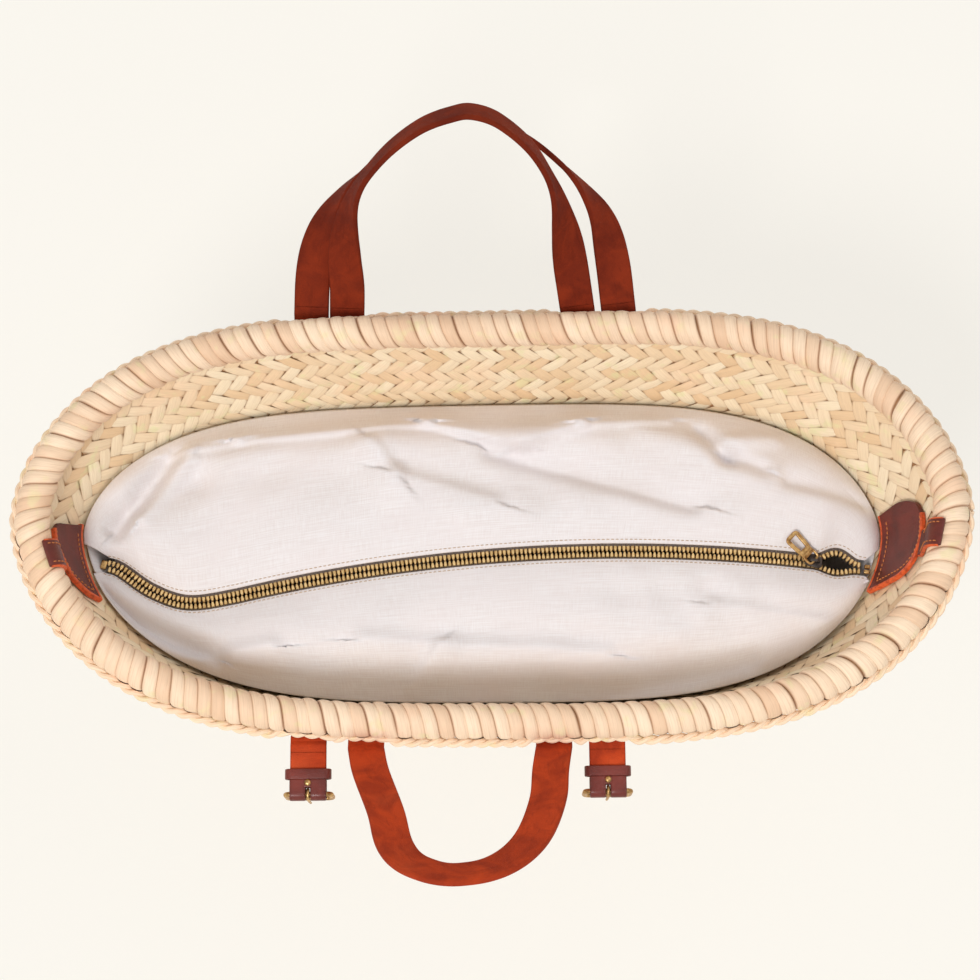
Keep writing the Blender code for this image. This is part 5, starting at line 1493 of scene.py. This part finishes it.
def buckle(word, finish):
    """One buckle strap with chape, rivet, keeper, frame and prong."""
    place = buckle_place(BUCKLES[word])
    body = "buckle_strap_" + word
    x = np.linspace(0.0036, 0.0218, 14)
    shape = Shape("buckle_strap_%s_leather" % word)
    path = put(place, np.column_stack([x, 0 * x, 0 * x]))
    leather_strap(shape, path, turn_only(place, (0, 0, 1.0)), turn_only(place, (0, 1.0, 0)), STRAP_WIDTH, STRAP, 0.0)
    add(shape, finish["leather"], body, "buckle_strap_" + word)
    radius = 0.0015 + 0.0004 + 0.0008
    turn = np.linspace(math.pi / 2, -math.pi / 2, 15)
    fold = [(0.0183, radius), (0.0205, radius), (0.0230, radius)]
    fold += [(BAR_DISTANCE + radius * math.cos(a), radius * math.sin(a)) for a in turn]
    fold += [(0.0230, -radius), (0.0205, -radius), (0.0183, -radius)]
    line = even(np.array(fold), 44)
    shape = Shape("buckle_chape_%s_leather" % word)
    for side in (-1, 1):
        across = side * (0.0192 / 4 + 0.0006)
        path = put(place, np.column_stack([line, np.full(len(line), across)]))
        wide = turn_only(place, (0, 0, 1.0))
        thick = np.cross(tangents(path), wide)
        leather_strap(shape, path, wide, thick, 0.0192 / 2 - 0.0012, 0.0016, 0.0004)
    for level in (1, -1):
        x = np.linspace(0.0183, 0.0218, 6)
        path = put(place, np.column_stack([x, np.full(6, level * radius), 0 * x]))
        leather_strap(shape, path, turn_only(place, (0, 0, 1.0)), turn_only(place, (0, 1.0, 0)), 0.006, 0.00155, 0.0003)
    add(shape, finish["trim"], body, "buckle_chape_" + word)
    upright = place @ Matrix.Translation((0.0198, 0, 0)) @ Matrix.Rotation(-math.pi / 2, 4, "X")
    face = 0.0015 + 0.0004 + 0.0016
    cap = [(0.0, face + 0.0011), (0.0009, face + 0.0010), (0.0016, face + 0.0006), (0.0018, face + 0.0001)]
    profile = cap + [(0.0010, face), (0.0010, -face)] + [(r, -z) for r, z in reversed(cap)]
    shape = Shape("buckle_rivet_%s_brass" % word)
    turned(shape, profile, upright, 20)
    add(shape, finish["brass"], body, "buckle_rivet_" + word)
    keeper(word, place, finish)
    buckle_metal(word, place, finish)


def keeper(word, place, finish):
    """Leather loop round the strap: its section is carried round a flattened ring."""
    middle = 0.0183 - FIT - 0.0055 / 2
    corners = rounded_section(0.0230, 0.0053, 0.0026, 8)
    ring = even(np.vstack([corners, corners[:1]]), 90)[:-1]
    path = put(place, np.column_stack([np.full(len(ring), middle), ring[:, 1], ring[:, 0]]))
    wide = turn_only(place, (1.0, 0, 0))
    thick = np.cross(tangents(path, closed=True), wide)
    shape = Shape("buckle_keeper_%s_leather" % word)
    section = strap_section(0.0055, 0.0014, 0.0005)
    edge = np.broadcast_to(band_edge(section, 0.0055)[None, None], (1, len(path), len(section)))
    sweep(shape, path, wide, thick, section, closed=True, edge=edge * 0.6)
    add(shape, finish["trim"], "buckle_keeper_" + word, "buckle_keeper_" + word)


def buckle_metal(word, place, finish):
    """Frame of flattened wire and a prong that narrows to its tip."""
    bar_point = place @ Vector((BAR_DISTANCE, 0, 0))
    bar = place_at(bar_point, outward(-1, FRAME_LEAN), (0.0, math.cos(FRAME_LEAN), math.sin(FRAME_LEAN)))
    box = rounded_section(0.0170, 0.0235, 0.0030, 8)
    loop = even(np.vstack([box, box[:1]]), 120)[:-1]
    path = put(bar, np.column_stack([loop[:, 0] + 0.0085, 0 * loop[:, 0], loop[:, 1]]))
    shape = Shape("buckle_frame_%s_brass" % word)
    up_way = np.broadcast_to(turn_only(bar, (0, 1.0, 0)), path.shape)
    a = np.linspace(0, 2 * math.pi, 16, endpoint=False)
    oval = np.stack([0.0015 * np.cos(a), 0.0014 * np.sin(a)], axis=1)
    sweep(shape, path, np.cross(tangents(path, closed=True), up_way), up_way, oval, closed=True)
    add(shape, finish["brass"], "buckle_frame_" + word, "buckle_frame_" + word)
    radius = 0.0015 + 0.0003 + 0.0008
    turn = np.linspace(math.radians(245.0), math.pi / 2, 18)
    hook = [(radius * math.cos(a), radius * math.sin(a), 0.0) for a in turn]
    shaft = [(x, radius + 0.0002 * math.sin(x / 0.017 * math.pi), 0.0) for x in np.linspace(0.002, 0.0184, 14)]
    line = np.array(hook + shaft)
    path = put(bar, line)
    taper = np.interp(lengths(path), (0, 0.008, lengths(path)[-1]), (1.0, 1.0, 0.72))
    shape = Shape("buckle_prong_%s_brass" % word)
    wide = np.broadcast_to(turn_only(bar, (0, 0, 1.0)), path.shape)
    thick = np.cross(tangents(path), wide)
    a = np.linspace(0, 2 * math.pi, 12, endpoint=False)
    oval = np.stack([0.0009 * np.cos(a), 0.00075 * np.sin(a)], axis=1)
    sweep(shape, path, wide, thick, oval, soft=0.0005, scale=np.column_stack([taper, taper]))
    add(shape, finish["brass"], "buckle_prong_" + word, "buckle_prong_" + word)


def add(shape, material, body, *nodes):
    """Make a piece that rides on a body and stands for the given nodes."""
    obj = shape.make(material)
    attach(obj, body)
    if nodes:
        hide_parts(*nodes)
    return obj


# Operators

def settings(context):
    return context.scene.pack_basket


def finishes(colours):
    """All materials of the basket by their use."""
    c = {key: tuple(getattr(colours, key)) for key in colours.bl_rna.properties.keys()
         if key not in ("name", "rna_type")}
    return {
        # The palm's gap colour is painted shade between the strands.
        "palm": palm_finish("palm_leaf", c["palm"], c["palm_dark"], c["palm_gap"], 0.5, 0.7, 0.32),
        # The rim's gap colour is painted shade between the wraps.
        "rim": palm_finish("rim_leaf", c["rim"], c["rim_dark"], c["rim_gap"], 0.30, 0.85, 0.42),
        # Painted shade: the core takes the gap colour, so the gaps between strands and wraps show it as shade.
        "core": core_gap_shade_finish("palm_core", c["palm_gap"]),
        "canvas": canvas_finish("lining_canvas", c["canvas"], c["canvas_dark"]),
        "leather": leather_finish("red_leather", c["leather"], c["leather_dark"], c["leather_light"], 0.68, 900.0, 0.10),
        # Painted shade: the back straps get a darkened copy of the red leather.
        "dark_leather": leather_finish("dark_red_leather", c["strap"], c["strap_dark"], c["strap_light"], 0.70, 900.0, 0.08),
        "trim": leather_finish("trim_leather", c["trim"], tuple(np.array(c["trim"]) * 0.5),
                               tuple(np.array(c["trim"]) * 1.5), 0.30, 1100.0, 0.35, coat=0.12),
        "edge": paint_finish("edge_paint", c["edge"]),
        "thread": thread_finish("waxed_thread", c["thread"]),
        "seam": thread_finish("seam_thread", c["seam"]),
        "brass": metal_finish("aged_brass", c["brass"], c["brass_dark"], 0.30, 1.0),
        "teeth": metal_finish("tooth_brass", c["tooth"], tuple(np.array(c["tooth"]) * (0.62, 0.55, 0.45)), 0.34, 0.72),
        "slider": metal_finish("dark_slider", c["slider"], tuple(np.array(c["slider"]) * 0.45), 0.34, 1.0),
        "tape": tape_finish("zip_tape_weave", c["tape"]),
        "floor": floor_finish("pale_floor", c["floor"]),
    }


FINISH = {}


class BASKET_OT_wall(bpy.types.Operator):
    """Plaited palm-leaf wall, inside, outside and base"""
    bl_idname = "basket.wall"
    bl_label = "Wall"

    def execute(self, context):
        sizes = settings(context).sizes
        core = Shape("palm_wall_core")
        wall_core(core)
        add(core, FINISH["core"], "basket", "basket_body")
        outer = Shape("palm_wall_outside")
        plait_rows(outer, sizes, 0.005, 0.995, sizes.rows, lambda z: 0.0015 - z, False, 11)
        add(outer, FINISH["palm"], "basket")
        inner = Shape("palm_wall_inside")
        first = sizes.rows - 11
        share = 0.005 + first * 0.99 / sizes.rows
        plait_rows(inner, sizes, share, 0.995, 11, lambda z: WALL - 0.0014 + z, True, 23)
        add(inner, FINISH["palm"], "basket")
        under = Shape("palm_base_plait")
        base_plait(under, sizes, 31)
        add(under, FINISH["palm"], "basket")
        return {"FINISHED"}


class BASKET_OT_rim(bpy.types.Operator):
    """Rim roll with its leaf wraps and the twisted edging under it"""
    bl_idname = "basket.rim"
    bl_label = "Rim"

    def execute(self, context):
        sizes = settings(context).sizes
        core = Shape("rim_roll_core")
        rim_core(core)
        add(core, FINISH["core"], "basket", "rim_roll")
        wraps = Shape("rim_wraps")
        rim_wraps(wraps, sizes, 5)
        add(wraps, FINISH["rim"], "basket")
        edging = Shape("rim_edging")
        rim_edging(edging, sizes)
        add(edging, FINISH["rim"], "basket")
        return {"FINISHED"}


class BASKET_OT_lining(bpy.types.Operator):
    """Cloth bag and the two folded panels of its top"""
    bl_idname = "basket.lining"
    bl_label = "Lining"

    def execute(self, context):
        sizes = settings(context).sizes
        for side, word, folds, seed in ((1, "back", BACK_FOLDS, 3), (-1, "front", FRONT_FOLDS, 9)):
            panel = lining_panel("lining_cloth_" + word, side, folds, FINISH["canvas"], sizes, seed)
            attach(panel, "basket")
            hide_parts("lining_panel_" + word)
        bag = lining_bag(FINISH["canvas"], sizes)
        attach(bag, "basket")
        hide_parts("lining_bag")
        return {"FINISHED"}


class BASKET_OT_zip(bpy.types.Operator):
    """Zip: teeth, tapes, stops, slider and pull tab"""
    bl_idname = "basket.zip"
    bl_label = "Zip"

    def execute(self, context):
        sizes = settings(context).sizes
        for side, word in ((1, "back"), (-1, "front")):
            teeth = Shape("zip_%s_teeth_brass" % word)
            zip_teeth(teeth, side, sizes)
            add(teeth, FINISH["teeth"], "basket", "zip_teeth_" + word)
            tape = Shape("zip_%s_tape_weave" % word)
            zip_tape(tape, side)
            add(tape, FINISH["tape"], "basket", "zip_tape_" + word)
            row = tooth_row(side)
            ahead = unit(row[-1] - row[-3])
            stop = Shape("zip_%s_stop_brass" % word)
            zip_stop(stop, row[-1] + ahead * 0.0019, ahead, 0.0023)
            add(stop, FINISH["brass"], "basket", "zip_top_stop_" + word)
        ahead = unit(ROUTE[0] - ROUTE[2])
        stop = Shape("zip_end_stop_brass")
        zip_stop(stop, ROUTE[0] + ahead * 0.0019, ahead, 0.0052)
        add(stop, FINISH["brass"], "basket", "zip_bottom_stop")
        slider = Shape("zip_slider_shields")
        slider_body(slider)
        add(slider, FINISH["slider"], "zip_slider", "zip_slider")
        bridge = Shape("zip_slider_bridge")
        slider_bridge(bridge)
        add(bridge, FINISH["slider"], "zip_slider")
        tab = Shape("zip_pull_tab_brass")
        pull_tab(tab)
        add(tab, FINISH["brass"], "zip_pull_tab", "zip_pull_tab")
        return {"FINISHED"}


class BASKET_OT_straps(bpy.types.Operator):
    """Leather loops, sewn strap ends, end tabs and buckle straps"""
    bl_idname = "basket.straps"
    bl_label = "Straps"

    def execute(self, context):
        pitch = settings(context).sizes.stitch
        for name, (side, left, right, *_rest) in LOOPS.items():
            # Straps at the back take the darkened copy of the leather, painted shade for the back side.
            finish = dict(FINISH, pitch=pitch, leather=FINISH["dark_leather" if side > 0 else "leather"])
            path, wide, thick = loop_frames(name)
            shape = Shape(name + "_leather")
            leather_strap(shape, path[2:-2], wide[2:-2], thick[2:-2], STRAP_WIDTH, STRAP, 0.0)
            add(shape, finish["leather"], name, name)
            hinge = hinge_line(side, HINGE_OUT, HINGE_DROP)
            for word, x, start, last in (("left", left, path[:4], wide[2]), ("right", right, path[:-5:-1], wide[-3])):
                strap_end("%s_end_%s" % (name, word), side, x, hinge, 0.0007, math.radians(232.0), finish)
                ends = end_path(side, x, hinge, 0.0007, math.radians(232.0))
                bend("%s_%s" % (name, word), name, ends, start, last, finish)
        finish = dict(FINISH, pitch=pitch)
        for word, x in BUCKLES.items():
            hinge = hinge_line(-1, BUCKLE_OUT, BUCKLE_DROP)
            strap_end("buckle_strap_end_" + word, -1, x, hinge, 0.0005, math.radians(244.0), finish)
            ends = end_path(-1, x, hinge, 0.0005, math.radians(244.0))
            start = put(buckle_place(x), [(d, 0.0, 0.0) for d in (0.0, 0.0018, 0.0036, 0.0054)])
            bend("buckle_" + word, "buckle_strap_" + word, ends, start, (1.0, 0.0, 0.0), finish)
            buckle(word, finish)
        for word in TABS:
            end_tab(word, finish)
        return {"FINISHED"}


class BASKET_OT_stage(bpy.types.Operator):
    """Pale floor, soft light from above and the camera"""
    bl_idname = "basket.stage"
    bl_label = "Stage"

    def execute(self, context):
        scene = context.scene
        floor = Shape("floor")
        x, y = np.meshgrid(np.linspace(-6, 6, 9), np.linspace(-6, 6, 9), indexing="ij")
        floor.grid(np.stack([x, y, 0 * x - 0.0002], axis=-1), flip=False)
        ground = floor.make(FINISH["floor"])
        ground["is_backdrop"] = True
        world = bpy.data.worlds.new("soft_room")
        world.use_nodes = True
        tree = world.node_tree
        back = tree.nodes["Background"]
        back.inputs["Color"].default_value = (1.0, 0.99, 0.98, 1.0)
        back.inputs["Strength"].default_value = 0.58
        seen = tree.nodes.new("ShaderNodeBackground")
        seen.inputs["Color"].default_value = (*settings(context).colours.floor, 1.0)
        path = tree.nodes.new("ShaderNodeLightPath")
        both = tree.nodes.new("ShaderNodeMixShader")
        tree.links.new(path.outputs["Is Camera Ray"], both.inputs[0])
        tree.links.new(back.outputs[0], both.inputs[1])
        tree.links.new(seen.outputs[0], both.inputs[2])
        tree.links.new(both.outputs[0], tree.nodes["World Output"].inputs["Surface"])
        scene.world = world
        for name, place, size, power, tint in (
                ("key", (-0.6, -1.25, 2.3), 0.8, 33.0, (1.0, 0.995, 0.985)),
                ("fill", (1.3, 0.7, 2.4), 2.0, 9.0, (1.0, 1.0, 1.0))):
            lamp = bpy.data.lights.new(name, "AREA")
            lamp.shape = "DISK"
            lamp.size = size
            lamp.energy = power
            lamp.color = tint
            obj = bpy.data.objects.new(name, lamp)
            obj.location = place
            obj.rotation_euler = (Vector((0, 0, 0.2)) - Vector(place)).to_track_quat("-Z", "Y").to_euler()
            scene.collection.objects.link(obj)
            obj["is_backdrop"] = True
        view = bpy.data.cameras.new("camera")
        view.lens = 85.0
        view.sensor_width = 36.0
        camera = bpy.data.objects.new("camera", view)
        ahead = Vector((0.0, math.sin(math.radians(15.0)), -math.cos(math.radians(15.0))))
        up = Vector((1, 0, 0)).cross(ahead)
        roll = -0.0109
        right = math.cos(roll) * Vector((1, 0, 0)) + math.sin(roll) * up
        top = -math.sin(roll) * Vector((1, 0, 0)) + math.cos(roll) * up
        turn = Matrix((right, top, -ahead)).transposed().to_4x4()
        camera.matrix_world = Matrix.Translation((-0.0009, -0.3033, 1.4588)) @ turn
        scene.collection.objects.link(camera)
        scene.camera = camera
        scene.view_settings.view_transform = "Standard"
        return {"FINISHED"}


class BASKET_PT_panel(bpy.types.Panel):
    """Sizes, colours and the steps that build the basket"""
    bl_idname = "BASKET_PT_panel"
    bl_label = "Pack Basket"
    bl_space_type = "VIEW_3D"
    bl_region_type = "UI"
    bl_category = "Basket"

    def draw(self, context):
        group = settings(context)
        for part in (group.sizes, group.colours):
            for key in part.bl_rna.properties.keys():
                if key not in ("name", "rna_type"):
                    self.layout.prop(part, key)
        for step in STEPS:
            self.layout.operator(step.bl_idname)


STEPS = (BASKET_OT_wall, BASKET_OT_rim, BASKET_OT_lining, BASKET_OT_zip, BASKET_OT_straps, BASKET_OT_stage)
CLASSES = (BasketSizes, BasketColours, BasketSettings, *STEPS, BASKET_PT_panel)


def register():
    for cls in CLASSES:
        bpy.utils.register_class(cls)
    bpy.types.Scene.pack_basket = PointerProperty(type=BasketSettings)


def unregister():
    del bpy.types.Scene.pack_basket
    for cls in reversed(CLASSES):
        bpy.utils.unregister_class(cls)


def main():
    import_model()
    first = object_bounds()
    register()
    FINISH.update(finishes(settings(bpy.context).colours))
    for step in STEPS:
        group, name = step.bl_idname.split(".")
        if getattr(getattr(bpy.ops, group), name)() != {"FINISHED"}:
            raise RuntimeError(step.bl_idname + " did not finish")
    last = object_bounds()
    {"before": flat_numbers(first), "after": flat_numbers(last)}


def flat_numbers(value):
    """Bounds as plain lists of numbers."""
    if isinstance(value, (int, float)):
        return float(value)
    if isinstance(value, dict):
        return {key: flat_numbers(v) for key, v in value.items()}
    return [flat_numbers(v) for v in value]


if __name__ == "__main__":
    main()
